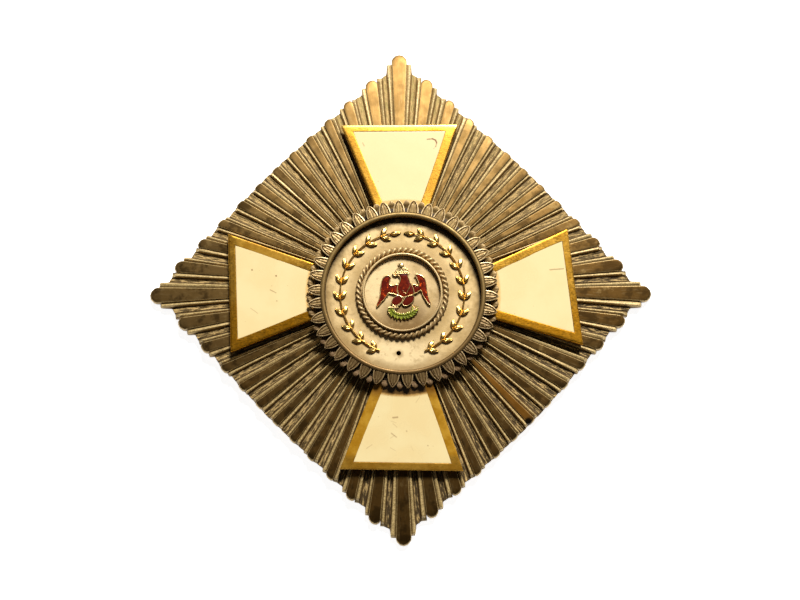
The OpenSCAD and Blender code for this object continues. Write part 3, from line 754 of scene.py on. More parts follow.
def star_rays():
    """The whole plate: its face in rows from the middle outwards, its edge, and its hollow back."""
    lines = ray_lines()
    spans = {line: (plate_end(line.k, line.x), top_end(line.k, line.x)) for line in lines}
    body_rows = 22
    # Distances from the end at which a flat top's rounded end has a row
    end_rows = (0.42, 0.26, 0.16, 0.08, 0.03, 0.0)
    rows = []
    marks = {"dirt": [], "rub": [], "ground": [], "shade": []}

    def row(reach):
        out = []
        for line in lines:
            r, sunk = reach(line)
            out.append(polar(r, line_heading(r, line), line_height(r, line, sunk)))
            wide = abs(line.x)
            marks["dirt"].append(max(line.dirt, sunk * 0.4 if wide > RAY_HALF else 0.0))
            marks["rub"].append(max(line.rub, smooth(0.0, 0.3, sunk) * 0.8 if wide < RAY_HALF else 0.0))
            marks["ground"].append(smooth(GROUND - 0.1, GROUND + 0.2, wide))
            marks["shade"].append(line.shade if wide < RAY_HALF + 0.05 else 0.0)
        rows.append(out)

    def on_ground(line):
        return abs(line.x) >= GROUND - 0.1

    def until(line):
        plate, top = spans[line]
        return plate - 0.1 if on_ground(line) else min(top, plate - 0.05)

    def under(reach, lift=0.0):
        out = []
        for line in lines:
            r = reach(spans[line][0])
            out.append(polar(r, line_heading(r, line), back_z(r) + lift))
            for mark in marks.values():
                mark.append(0.0)
        rows.append(out)

    for i in range(body_rows):
        row(lambda line: (mix(START_R, until(line) - end_rows[0], i / body_rows), 0.0))
    for gap in end_rows:
        sink = 1 - sqrt(max(0.0, 1 - (1 - gap / end_rows[0]) ** 2))
        row(lambda line: (until(line) - gap, 0.0 if on_ground(line) else sink * 0.45))
    row(lambda line: (mix(until(line), spans[line][0], 0.4), 0.85))
    row(lambda line: (mix(until(line), spans[line][0], 0.85), 1.02))
    row(lambda line: (spans[line][0], 1.2))
    under(lambda edge: edge, 0.06)
    under(lambda edge: edge - 0.06)
    under(lambda edge: edge - 1.5)
    for share in (0.72, 0.45, 0.2):
        under(lambda edge: edge * share)

    solid = Solid()
    solid.rows([list(reversed(r)) for r in rows])
    n = len(lines)
    starts = range(0, n * len(rows), n)
    solid.marks = {
        name: [value for start in starts for value in reversed(values[start:start + n])]
        for name, values in marks.items()
    }
    top = solid.add([(0, 0, ray_top(START_R) - 0.2), (0, 0, back_z(0))], [])
    last = n * (len(rows) - 1)
    for j in range(n):
        solid.faces.append((top, (j + 1) % n, j))
        solid.faces.append((top + 1, last + j, last + (j + 1) % n))
    solid.piece("star_rays", ray_silver(), "silver_rays", ["star_plate"], 60)


# Cross arms

# The arms as they were cut by hand, seen pointing up.
# Columns: heading, outer left x, outer left y, outer right x, outer right y,
# inner left x, inner right x, shift of the enamel to the right
ARMS = {
    "top": (0, -8.07, 22.70, 7.30, 22.80, -3.72, 3.65, -0.04),
    "right": (90, -8.72, 21.42, 6.50, 23.08, -4.10, 3.30, 0.00),
    "bottom": (180, -7.68, 22.53, 7.88, 22.28, -3.98, 3.64, -0.08),
    "left": (270, -7.48, 21.85, 8.05, 22.60, -3.50, 4.12, 0.05),
}


class Arm:
    """The straight edges of one arm, and its seat on the vaulted rays."""

    def __init__(self, row):
        self.heading = row[0]
        self.left = (row[1], row[2], row[5])
        self.right = (row[3], row[4], row[6])
        self.shift = row[7]
        turn = radians(self.heading)
        self.reach = ARM_SEAT + CROSS[0] * sin(turn) + CROSS[1] * cos(turn)
        lean = atan(2 * (TOP_MIDDLE - TOP_POINT) * self.reach / VAULT_R ** 2)
        self.seat = (
            Matrix.Translation(Vector((*CROSS, 0))) @ Matrix.Rotation(-turn, 4, "Z")
            @ Matrix.Translation(Vector((0, ARM_SEAT, ray_top(self.reach) + SEAT_GAP)))
            @ Matrix.Rotation(-lean, 4, "X") @ Matrix.Translation(Vector((0, -ARM_SEAT, 0)))
        )

    def long_side(self, hand):
        """Where a long side crosses the waist, and its slope. hand is -1 for the left side."""
        x, y, waist = self.left if hand < 0 else self.right
        return waist, (x - waist) / (y - ARM_WAIST)

    def corner(self, hand, side, outer):
        """Outer corner when the long sides are drawn in by side and the outer edge by outer."""
        waist, slope = self.long_side(hand)
        waist -= hand * side * sqrt(1 + slope * slope)
        x0, y0, _ = self.left
        tilt = (self.right[1] - y0) / (self.right[0] - x0)
        edge_y = y0 - tilt * x0 - outer * sqrt(1 + tilt * tilt)
        reach = (edge_y + tilt * (waist - slope * ARM_WAIST)) / (1 - tilt * slope)
        return (waist + slope * (reach - ARM_WAIST), reach)

    def waist_point(self, hand, side, r):
        """Where the same long side meets a circle round the medallion."""
        waist, slope = self.long_side(hand)
        in_x = -hand * side * sqrt(1 + slope * slope)
        y_at = r
        for _ in range(8):
            x_at = waist + slope * (y_at - ARM_WAIST) + in_x
            y_at = sqrt(r * r - x_at * x_at)
        return (x_at, y_at)

    def set_down(self, point):
        return tuple(self.seat @ Vector(point))


# Section of an arm's rim. Columns: share of its width, height, and how far it lies in a hollow
RIM_SECTION = (
    (0.00, 0.0, 0.8), (0.00, 0.5, 0.5), (0.00, ARM_T - 0.13, 0.2), (0.02, ARM_T - 0.06, 0.0),
    (0.06, ARM_T - 0.015, 0.0), (0.12, ARM_T, 0.0), (0.30, ARM_T, 0.0), (0.50, ARM_T, 0.0),
    (0.70, ARM_T, 0.0), (0.90, ARM_T, 0.0), (0.96, ARM_T - 0.003, 0.3), (0.985, ARM_T - 0.008, 0.8),
    (1.00, ARM_T - 0.02, 1.0), (1.00, 0.0, 1.0),
)


def gilt_arm(name, arm, look, seed):
    """The tray: a flat rim on three sides with rubbed edges, and the floor under the enamel."""
    solid = Solid()
    along = 22
    rows, low = [], []
    for leg in range(3):
        for i in range(1 if leg else 0, along + 1):
            t = i / along
            wave = 0.018 * noise.noise(Vector((seed * 9.1 + leg * 3.3, t * 5, 0)))
            sag = 0.012 * noise.noise(Vector((seed * 4.7 + leg * 2.1, t * 3, 7)))
            row = []
            for share, z, hollow in RIM_SECTION:
                side, outer = share * RIM_SIDE_W + wave, share * RIM_OUTER_W + wave
                turns = (
                    arm.waist_point(-1, side, ARM_INNER_R), arm.corner(-1, side, outer),
                    arm.corner(1, side, outer), arm.waist_point(1, side, ARM_INNER_R),
                )
                a, b = turns[leg], turns[leg + 1]
                x = mix(a[0], b[0], t) + arm.shift * smooth(0.5, 1.0, share)
                lift = sag if z > 0.6 else 0
                row.append(arm.set_down((x, mix(a[1], b[1], t), max(0, z + lift))))
                low.append(hollow)
            rows.append(row)
    solid.rows(rows, closed=True, ends=True)
    solid.mark("low", low)
    # The floor reaches a little way under the rim
    inner, inner_end = RIM_SIDE_W * 0.9, RIM_OUTER_W * 0.9
    floor_corners = (
        arm.corner(-1, inner, inner_end), arm.corner(1, inner, inner_end),
        arm.waist_point(1, inner, ARM_INNER_R), arm.waist_point(-1, inner, ARM_INNER_R),
    )
    floor_rows = [[arm.set_down((*p, z)) for p in reversed(floor_corners)] for z in (0.02, ARM_FLOOR_T)]
    solid.rows(floor_rows, closed=True, ends=True)
    solid.piece("gilt_arm_" + name, look, "gilt", ["arm_" + name], 50)


def enamel_field(name, arm, look, seed):
    """The enamel in one tray: a flat glossy field that sinks a little along the rim."""
    gap = 0.02
    steps = 36
    n = steps + 1
    side, outer, r_in = RIM_SIDE_W + gap, RIM_OUTER_W + gap, ARM_INNER_R + gap
    a, b = arm.waist_point(-1, side, r_in), arm.waist_point(1, side, r_in)
    c, d = arm.corner(1, side, outer), arm.corner(-1, side, outer)
    tall = hypot(d[0] - a[0], d[1] - a[1])
    # Places from 0 to 1 that crowd towards both ends
    spread = [0.5 - 0.5 * cos(pi * (i / steps)) for i in range(n)]
    solid = Solid()
    rows, low = [], []
    for v in spread:
        left = (mix(a[0], d[0], v), mix(a[1], d[1], v))
        right = (mix(b[0], c[0], v), mix(b[1], c[1], v))
        wide = hypot(right[0] - left[0], right[1] - left[1])
        row, row_low = [], []
        for u in spread:
            x, y = mix(left[0], right[0], u), mix(left[1], right[1], u)
            bow = (sqrt(r_in * r_in - x * x) - mix(a[1], b[1], u)) * (1 - v)
            edge = min(u * wide, (1 - u) * wide, (1 - v) * tall)
            z = ARM_T - 0.004 - 0.008 * (1 - smooth(0.0, 0.06, edge))
            z += 0.008 * noise.noise(Vector((x * 0.45 + seed * 7, y * 0.45, 0)))
            row.append(arm.set_down((x + arm.shift, y + bow, z)))
            row_low.append(1 - smooth(0.0, 0.12, edge))
        rows.append(list(reversed(row)))
        low.extend(reversed(row_low))
    solid.rows(rows, closed=False)
    solid.mark("low", low)
    ring = (
        list(range(n)) + [i * n + n - 1 for i in range(1, n)]
        + [(n - 1) * n + j for j in range(n - 2, -1, -1)] + [i * n for i in range(n - 2, 0, -1)]
    )
    back = arm.seat.inverted()
    below = []
    for i in ring:
        flat = back @ Vector(solid.points[i])
        below.append(arm.set_down((flat[0], flat[1], ARM_FLOOR_T + SEAT_GAP)))
    base = solid.add(below, [])
    m = len(ring)
    for i in range(m):
        solid.faces.append((ring[i], base + i, base + (i + 1) % m, ring[(i + 1) % m]))
    solid.faces.append(tuple(base + i for i in reversed(range(m))))
    solid.piece("enamel_field_" + name, look, "enamel_white", ["enamel_" + name], 50)


# Medallion

BEZEL_OUTER_R = 10.55


def turned_ring(name, look, nodes, profile, middle, steps, dirt):
    """A ring turned from a profile, darker from one height down to another."""
    solid = Solid()
    revolve(solid, profile, middle, steps)
    solid.mark("low", [smooth(*dirt, z) for _, z in profile for _ in range(steps)])
    solid.piece(name, look, "silver_trim", nodes, 50)


def plain_bezel(look):
    """The medallion's rounded rim, with the foot that it stands on and the step that holds the disc."""
    foot_in, foot_out, shoulder = 9.35, 11.3, 3.9
    inner, outer, top = 9.98, BEZEL_OUTER_R, 4.8
    mid, half = (inner + outer) / 2, (outer - inner) / 2
    flat = 0.62
    foot_z = ray_top(foot_in) + SEAT_GAP
    disc_step = 3.4
    profile = [
        (foot_in, foot_z), (foot_out, foot_z), (foot_out, shoulder), (outer, shoulder),
        (outer, top - half - 0.1),
    ]
    for i in range(13):
        a = pi * i / 12
        profile.append((mid + half * cos(a), top - half * flat + half * flat * sin(a)))
    profile += [(inner, 3.95), (inner + 0.02, disc_step), (foot_in, disc_step)]
    turned_ring("plain_bezel", look, ["bezel"], profile, MEDALLION, 240, (4.55, 4.0))


LEAVES = 38
LEAF_START = 6.7
LEAF_ROOT_R = BEZEL_OUTER_R + 0.03
LEAF_TIP_R = 12.33
LEAF_HALF_W = 0.71
REAR_HALF_W = 0.44
LEAF_TOP = 4.74
COLLAR_Z = 3.92
COLLAR_OUTER_R = 11.28


def pointed(v):
    """Width of a gothic arch at a share of its height, as a share of its foot."""
    return (1 - v ** 2.1) ** 0.75


def leaf_ring(look):
    """Pointed front leaves with a raised rim and a double rib, over rounder rear leaves."""
    solid = Solid()
    low, rub = [], []
    draw = random.Random(5)
    middle = Vector((*MEDALLION, 0))
    room = LEAF_TIP_R - LEAF_ROOT_R

    def leaf(angle, length, width, height, relief, steps_v, steps_u, thick, painted_shade_share):
        """A leaf whose half width, height and relief are functions of the place from root to tip."""
        turn = radians(angle)
        out = Vector((sin(turn), cos(turn), 0))
        side = Vector((cos(turn), -sin(turn), 0))
        rows = []
        for i in range(steps_v + 1):
            v = sin(0.5 * pi * i / steps_v)
            half = width(v) + 0.012
            top_row, bottom_row, hollow, crest = [], [], [], []
            for j in range(steps_u + 1):
                u = -1 + 2 * j / steps_u
                r = LEAF_ROOT_R + length * v
                rise = relief(abs(u) * half, half, v)
                z = height(v) + rise - 0.10 * u * u
                top_row.append(tuple(middle + out * r + side * (u * half) + Vector((0, 0, z))))
                under = Vector((0, 0, height(v) - thick))
                bottom_row.append(tuple(middle + out * (r - 0.04 * v) + side * (u * half * 0.94) + under))
                hollow.append(max(painted_shade_share, 1 - smooth(-0.20, -0.06, rise)))
                crest.append(smooth(-0.06, 0.0, rise) * (1 - painted_shade_share))
            rows.append(top_row + list(reversed(bottom_row)))
            low.extend(hollow + [1.0] * (steps_u + 1))
            rub.extend(crest + [0.0] * (steps_u + 1))
        solid.rows(rows, closed=True, ends=True)

    def front_height(v):
        return LEAF_TOP - 0.08 * v - 0.26 * smooth(0.82, 1.0, v)

    def front_relief(x, half, v):
        edge = half - x
        groove = smooth(0.11, 0.18, edge) * (1 - smooth(0.24, 0.34, edge)) * (1 - smooth(0.86, 0.92, v))
        rib = exp(-(((x - 0.17) / 0.07) ** 2)) * (1 - smooth(0.60, 0.78, v))
        inside = smooth(0.30, 0.36, edge)
        return -0.20 * groove - 0.10 * inside * (1 - rib)

    def rear_height(v):
        return COLLAR_Z + 0.30 * smooth(0.40, 0.75, v) - 0.16 * smooth(0.86, 1.0, v)

    def rear_relief(x, half, v):
        rim = 1 - smooth(0.05, 0.14, half - x)
        return -0.08 * (1 - max(rim, smooth(0.86, 0.93, v)))

    def rear_width(v):
        return REAR_HALF_W * sqrt(max(0.0, 1 - v ** 5))

    for k in range(LEAVES):
        angle = LEAF_START + k * 360 / LEAVES + draw.uniform(-0.35, 0.35)
        foot = LEAF_HALF_W * (1 + draw.uniform(-0.06, 0.04))
        length = room * mix(0.95, 0.99, draw.random())
        leaf(angle, length, lambda v: foot * pointed(v), front_height, front_relief, 22, 24, 0.4, 0.0)
    for k in range(LEAVES):
        angle = LEAF_START + (k + 0.5) * 360 / LEAVES + draw.uniform(-0.5, 0.5)
        length = room * mix(0.97, 1.0, draw.random())
        # Painted shade on the rear leaves: half of it all round under the front leaves, and all of it at the
        # bottom
        painted_shade_share = 0.5 + 0.5 * smooth(0.1, 0.8, -cos(radians(angle)))
        leaf(angle, length, rear_width, rear_height, rear_relief, 14, 10, 0.3, painted_shade_share)
    solid.mark("low", low)
    solid.mark("rub", rub)
    # The ring that carries the leaves, painted near black as painted shade under them. It isn't rubbed
    # anywhere
    root = [
        (LEAF_ROOT_R, COLLAR_Z), (LEAF_ROOT_R, 4.4), (LEAF_ROOT_R + 0.08, 4.36),
        (LEAF_ROOT_R + 0.2, 4.02), (COLLAR_OUTER_R, 3.95), (COLLAR_OUTER_R, COLLAR_Z),
    ]
    root_steps = 190
    revolve(solid, root, MEDALLION, root_steps)
    solid.mark("low", [2.0] * (len(root) * root_steps))
    solid.piece("leaf_ring", look, "silver_trim", ["leaf_collar"], 60)


# Laurel branches

LAUREL_R = 7.95
LAUREL_START = 24
LAUREL_GROUPS = 10
LAUREL_GAP = 5.5
LAUREL_STEP = (180 - LAUREL_START - LAUREL_GAP) / LAUREL_GROUPS
LAUREL_T = 0.42
LAUREL_SPLAY = 36
LAUREL_LEAF_L = 1.4
LAUREL_END_TURN = -5


def laurel(name, hand, look):
    """A branch that rises from the bottom gap: a round stem, and paired leaves with a sunk midrib.

    hand is 1 for the branch at the right and -1 for the mirrored one at the left.
    """
    solid = Solid()
    low = []
    base_z = DISC_TOP + SEAT_GAP

    def on_branch(step, x, y, z):
        """x goes outward and y along the branch, from the place of a step."""
        a = radians(LAUREL_START + step * LAUREL_STEP)
        spot = (-(LAUREL_R + x) * sin(a) - y * cos(a), -(LAUREL_R + x) * cos(a) + y * sin(a))
        return (CROSS[0] - hand * spot[0], CROSS[1] + spot[1], base_z + z)

    def leaf(step, splay, length, width):
        across, along = 6, 10
        turn = radians(splay)
        rows = []
        for i in range(along + 1):
            v = i / along
            half = width / 2 * sin(pi * min(0.985, max(0.015, v)) ** 0.92) + 0.012
            upper, lower, hollow = [], [], []
            for j in range(across + 1):
                u = -1 + 2 * j / across
                lx, ly = u * half, v * length
                x = lx * cos(turn) + ly * sin(turn)
                y = -lx * sin(turn) + ly * cos(turn)
                bulge = 0.24 + 0.18 * sin(pi * min(1, v + 0.12)) * (1 - abs(u) ** 2.2)
                crease = 0.07 * max(0.0, 1 - abs(u) / 0.22) * (1 - v * 0.6)
                upper.append(on_branch(step, x, y, min(LAUREL_T, bulge - crease)))
                lower.append(on_branch(step, x, y, 0.0))
                hollow.append(0.75 * max(0.0, 1 - abs(u) / 0.25) + smooth(0.8, 1.0, abs(u)) * 0.5)
            row = upper + list(reversed(lower))
            marked = hollow + [1.0] * (across + 1)
            rows.append(row if hand > 0 else list(reversed(row)))
            low.extend(marked if hand > 0 else reversed(marked))
        solid.rows(rows, closed=True, ends=True)

    draw = random.Random(3 if hand > 0 else 4)
    for i in range(LAUREL_GROUPS):
        for side in (-1, 1):
            splay = side * (LAUREL_SPLAY + draw.uniform(-3, 3))
            leaf(i, splay, LAUREL_LEAF_L + draw.uniform(-0.05, 0.03), 0.62)
    leaf(LAUREL_GROUPS - 0.4, LAUREL_END_TURN, LAUREL_LEAF_L, 0.6)
    stem_z = 0.2
    stem = [on_branch(mix(-0.2, LAUREL_GROUPS - 0.3, i / 90), 0, 0, stem_z) for i in range(91)]
    start = len(solid.points)
    tube(solid, stem, lambda t: mix(0.14, 0.09, t), 8)
    low += [0.1] * (len(solid.points) - start)
    solid.mark("low", low)
    solid.piece("laurel_branch_" + name, look, "gilt", ["laurel_" + name], 45)


# Centre

ROPE_R = 5.62
ROPE_WIRE_R = 0.36
ROPE_STRANDS = 50


def rope(look):
    """Two round wires twisted together and bent into a ring."""
    solid = Solid()
    low = []
    strand_r = 0.185
    offset = ROPE_WIRE_R - strand_r
    steps = ROPE_STRANDS * 10
    sides = 10
    z = DISC_TOP + ROPE_WIRE_R + SEAT_GAP
    turns = ROPE_STRANDS / 2
    for strand in range(2):
        rows = []
        for i in range(steps):
            angle = 360 * i / steps
            twist = -2 * pi * turns * i / steps + pi * strand
            middle_r = ROPE_R + offset * cos(twist)
            middle_z = z + offset * sin(twist)
            row = []
            for k in range(sides):
                turn = 2 * pi * k / sides
                level = middle_z + strand_r * sin(turn)
                row.append(polar(middle_r + strand_r * cos(turn), angle, level, CENTRE))
                low.append(smooth(0.08, -0.12, level - z))
            # The marks keep the order that the points had, which darkens the low turns' tops the most
            rows.append(list(reversed(row)))
        solid.rows(rows, closed=True, loop=True)
    solid.mark("low", low)
    solid.piece("rope", look, "silver_trim", ["rope_ring"], 60)


def thin_lip(look):
    """The thin upright rim inside the rope, with a rounded top."""
    outer, wall, top, shoulder = 5.12, 0.26, 4.75, 4.3
    mid, half = outer - wall / 2, wall / 2
    foot_z = DISC_TOP + SEAT_GAP
    profile = [(outer - wall, foot_z), (outer, foot_z), (outer, shoulder)]
    profile += [(mid + half * cos(pi * i / 8), top - half + half * sin(pi * i / 8)) for i in range(9)]
    profile += [(outer - wall, shoulder)]
    turned_ring("thin_lip", look, ["inner_lip"], profile, CENTRE, 180, (4.5, 4.1))


# The bird and its wreath: a gold plate with the enamel and its walls on top
GOLD_Z = CENTRE_TOP + SEAT_GAP
GOLD_T = 0.15
GOLD_TOP = GOLD_Z + GOLD_T
COLOUR_Z = GOLD_TOP + SEAT_GAP
COLOUR_T = 0.15
WALL_Z = COLOUR_Z + COLOUR_T * 0.62

# Outlines of the bird in millimetres from its own middle
WING_LEFT = (
    (-2.45, 1.74), (-2.19, 2.00), (-1.87, 2.13), (-1.61, 2.07), (-1.45, 1.84), (-1.54, 1.60), (-1.64, 1.27),
    (-1.62, 0.95), (-1.35, 0.81), (-1.09, 0.86), (-0.76, 0.97), (-0.50, 0.95), (-0.60, 0.28), (-0.36, -0.44),
    (-0.76, -0.32), (-1.02, -0.25), (-1.48, -0.12), (-1.80, -0.12), (-1.90, -0.34), (-2.03, -0.55),
    (-2.16, -0.79), (-2.34, -1.00), (-2.60, -1.24), (-2.86, -1.60), (-3.20, -1.88), (-3.17, -1.52),
    (-3.01, -1.15), (-2.88, -0.79), (-2.79, -0.47), (-2.75, -0.12), (-2.73, 0.28), (-2.70, 0.81),
    (-2.60, 1.35),
)
WING_RIGHT = (
    (1.71, 2.21), (1.92, 2.32), (2.36, 2.27), (2.72, 2.04), (2.94, 1.70), (3.04, 1.30), (3.11, 0.81),
    (3.18, 0.28), (3.28, -0.37), (3.42, -0.89), (3.66, -1.46), (3.60, -1.66), (3.38, -1.53), (3.20, -1.26),
    (3.00, -0.92), (2.79, -0.63), (2.64, -0.32), (2.54, 0.02), (2.41, 0.24), (2.16, 0.13), (1.90, -0.07),
    (1.56, -0.18), (1.46, 0.28), (1.33, 0.81), (1.45, 0.99), (1.71, 0.91), (2.00, 0.79), (2.17, 0.86),
    (2.15, 1.21), (2.00, 1.57), (1.83, 1.94),
)
BODY = (
    (-0.44, 2.32), (-0.24, 1.94), (-0.21, 1.60), (-0.31, 1.27), (-0.47, 0.97), (-0.57, 0.67), (-0.63, 0.28),
    (-0.57, -0.12), (-0.24, -0.55), (0.15, -0.69), (0.54, -0.57), (1.12, -0.39), (1.52, -0.15), (1.48, 0.28),
    (1.35, 0.67), (1.19, 1.01), (0.99, 1.34), (0.86, 1.74), (0.73, 2.13), (0.78, 2.36),
)
CROWN = (
    (-1.04, 2.46), (-0.96, 2.62), (-0.76, 2.93), (-0.50, 3.14), (-0.22, 3.20), (-0.40, 3.42), (-0.54, 3.70),
    (-0.30, 3.78), (0.10, 3.72), (0.16, 3.40), (0.20, 3.18), (0.62, 3.04), (0.84, 2.76), (0.88, 2.46),
)
BEAK = ((-0.46, 2.40), (-1.20, 2.48), (-1.22, 2.32), (-1.04, 2.16), (-0.80, 2.12), (-0.52, 2.22))
# Columns: middle, half length, half width, lean in degrees
THIGHS = (((-0.63, -1.10), 0.80, 0.54, 40), ((0.80, -1.06), 0.88, 0.54, 42))

# Gold wires on the bird. Columns: path, radius, height of its middle above the walls' middle
RUBBED_WALLS = (
    (((-2.47, 1.72), (-2.19, 2.00), (-1.87, 2.13), (-1.61, 2.07), (-1.45, 1.84)), 0.085, 0.03),
    (
        ((-1.62, 0.98), (-1.35, 0.81), (-1.09, 0.86), (-0.76, 0.97), (-0.50, 0.97), (-0.31, 1.27)),
        0.095, 0.03,
    ),
    (((1.40, 0.99), (1.71, 0.91), (2.00, 0.79), (2.16, 0.90)), 0.09, 0.03),
    (((1.70, 2.14), (1.80, 2.28), (1.95, 2.30)), 0.13, 0.03),
    (((2.30, 2.18), (2.60, 2.05), (2.86, 1.80)), 0.13, 0.03),
    (((-1.80, -0.36), (-1.82, -0.14)), 0.085, 0.03),
    (((1.55, -0.18), (1.90, -0.07), (2.16, 0.13), (2.41, 0.24), (2.54, 0.06)), 0.07, 0.03),
    (((3.00, -0.92), (3.20, -1.26), (3.40, -1.52)), 0.08, 0.03),
)
CROWN_WIRES = (
    (((-1.18, 2.40), (-0.70, 2.42), (-0.1, 2.43), (0.5, 2.44), (0.90, 2.42)), 0.085, 0.08),
    (((-1.20, 2.36), (-1.02, 2.22), (-0.78, 2.16), (-0.52, 2.24)), 0.07, 0.03),
    (((-0.90, 2.60), (-0.3, 2.64), (0.3, 2.64), (0.80, 2.60)), 0.05, 0.02),
    (((-0.80, 2.72), (-0.66, 3.00), (-0.40, 3.14), (-0.10, 3.20)), 0.06, 0.02),
    (((0.76, 2.72), (0.66, 2.95), (0.40, 3.08), (0.02, 3.18)), 0.06, 0.02),
    (((-0.36, 2.70), (-0.24, 2.96), (-0.08, 3.14)), 0.06, 0.02),
    (((0.34, 2.70), (0.20, 2.94), (0.0, 3.14)), 0.06, 0.02),
)
CROWN_BEADS = ((-0.76, 2.86), (0.72, 2.90), (-0.06, 2.72))
# The ribbon between the thighs, the ledge at the wreath, and three lines on the body
RIBBON = (
    (1.50, -0.16), (1.42, -0.38), (1.12, -0.45), (0.78, -0.50), (0.50, -0.66), (0.28, -0.92), (0.08, -1.26),
    (-0.16, -1.52), (-0.42, -1.74), (-0.60, -1.92),
)
BODY_WIRES = (
    (RIBBON, 0.08, 0.05),
    (((-0.50, -1.98), (-1.10, -1.99), (-1.76, -2.01)), 0.10, 0.02),
    (((1.04, 0.94), (0.96, 0.60), (0.78, 0.26), (0.50, -0.30)), 0.055, 0.10),
    (((0.10, 0.26), (0.22, -0.02), (0.42, -0.18)), 0.035, 0.08),
    (((-0.58, -0.02), (-0.44, -0.34), (-0.22, -0.54)), 0.06, 0.05),
)

WREATH_C = (0.12, -2.13)
WREATH_OUTER = (1.95, 1.37)
WREATH_INNER = (1.18, 0.66)
WREATH_HALF_TURN = 93
WREATH_LEAVES = 13
WREATH_BEADS = 9
# The tuft at the wreath's right end: where its sprigs spring from, and their tips
TUFT_ROOT = (1.48, -2.36)
TUFT_TIPS = ((1.30, -1.66), (1.62, -1.58), (1.92, -1.78), (2.04, -2.02), (1.50, -1.90), (1.80, -2.10))
# The knot at its left end. Columns: path, radius, height above the enamel's foot
KNOT = (
    (((-1.76, -2.04), (-1.80, -2.28), (-1.74, -2.56), (-1.54, -2.82)), 0.055, 0.10),
    (((-1.04, -2.02), (-1.02, -2.26), (-0.86, -2.50)), 0.07, 0.12),
)


def centred(point, z):
    return (BIRD[0] + point[0], BIRD[1] + point[1], z)


def oval(middle, a, b, lean, n):
    turn = radians(lean)
    out = []
    for k in range(n):
        t = 2 * pi * k / n
        x, y = a * cos(t), b * sin(t)
        out.append((middle[0] + x * cos(turn) - y * sin(turn), middle[1] + x * sin(turn) + y * cos(turn)))
    return out


def plaque(solid, low, outline, z0, z1):
    """A flat plate from a closed outline."""
    for hollow in (0.6, 0.2):
        low.extend([hollow] * len(outline))
    solid.rows([[centred(p, z) for p in outline] for z in (z0, z1)], closed=True, ends=True)


def wires(solid, low, path, radius, z, closed=False, steps=6):
    """A clean gold wire along a smooth path."""
    run = curve_through(path, steps, closed)
    start = len(solid.points)
    tube(solid, [centred(p, z) for p in run], radius, 8, closed, 0.9)
    low.extend([0.0] * (len(solid.points) - start))


def to_outline(spot, outline):
    """Distance from a spot to a closed outline that is a few millimetres wide."""
    best = 9.0
    for i, a in enumerate(outline):
        b = outline[(i + 1) % len(outline)]
        ax, ay, bx, by = a[0], a[1], b[0] - a[0], b[1] - a[1]
        t = ((spot[0] - ax) * bx + (spot[1] - ay) * by) / max(1e-9, bx * bx + by * by)
        t = min(1.0, max(0.0, t))
        best = min(best, hypot(spot[0] - ax - bx * t, spot[1] - ay - by * t))
    return best


def inside(spot, outline):
    odd = False
    for i, a in enumerate(outline):
        b = outline[(i + 1) % len(outline)]
        if (a[1] > spot[1]) != (b[1] > spot[1]):
            odd ^= spot[0] < a[0] + (spot[1] - a[1]) / (b[1] - a[1]) * (b[0] - a[0])
    return odd


def cell(solid, outline, bulge, shade):
    """A closed cell of enamel that domes between its walls."""
    spots = [Vector(p) for p in outline]
    n = len(spots)
    edges = [(i, (i + 1) % n) for i in range(n)]
    step = 0.1
    xs, ys = [p[0] for p in outline], [p[1] for p in outline]
    for i in range(int((max(xs) - min(xs)) / step) + 1):
        for j in range(int((max(ys) - min(ys)) / step) + 1):
            spot = (min(xs) + (i + 0.5 * (j % 2)) * step, min(ys) + j * step)
            if inside(spot, outline) and to_outline(spot, outline) > 0.05:
                spots.append(Vector(spot))
    laid, _, faces, _, _, _ = delaunay_2d_cdt(spots, edges, [], 1, 1e-5)
    marks, points = [], []
    for p in laid:
        reach = to_outline(p, outline)
        points.append(centred(p, WALL_Z + bulge * sqrt(smooth(0.0, 0.34, reach))))
        marks.append(1 - smooth(0.02, 0.16, reach))
    solid.add(points, faces)
    rim = [[centred(p, z) for p in outline] for z in (COLOUR_Z, WALL_Z)]
    solid.rows(rim, closed=True)
    start = solid.add(rim[0], [])
    solid.faces.append(tuple(start + i for i in reversed(range(n))))
    solid.mark("low", marks + [1.0] * (3 * n))
    solid.mark("shade", [shade] * (len(laid) + 3 * n))


def ball(solid, low, middle, r, flat):
    """A bead, flattened to a share of its height."""
    x, y, z = middle
    rings, around = 7, 12
    rows = []
    for i in range(1, rings + 1):
        a = pi * i / (rings + 1)
        wide, level = r * sin(a), z - r * cos(a) * flat
        turns = [2 * pi * k / around for k in range(around)]
        rows.append([(x + wide * cos(turn), y + wide * sin(turn), level) for turn in turns])
    low.extend([0.0] * (rings * around))
    solid.rows(rows, closed=True, ends=True)


def turned_left(outline):
    """The same outline, run so that the inside lies to its left."""
    area = sum(a[0] * b[1] - b[0] * a[1] for a, b in zip(outline, outline[1:] + outline[:1]))
    return outline if area > 0 else outline[::-1]


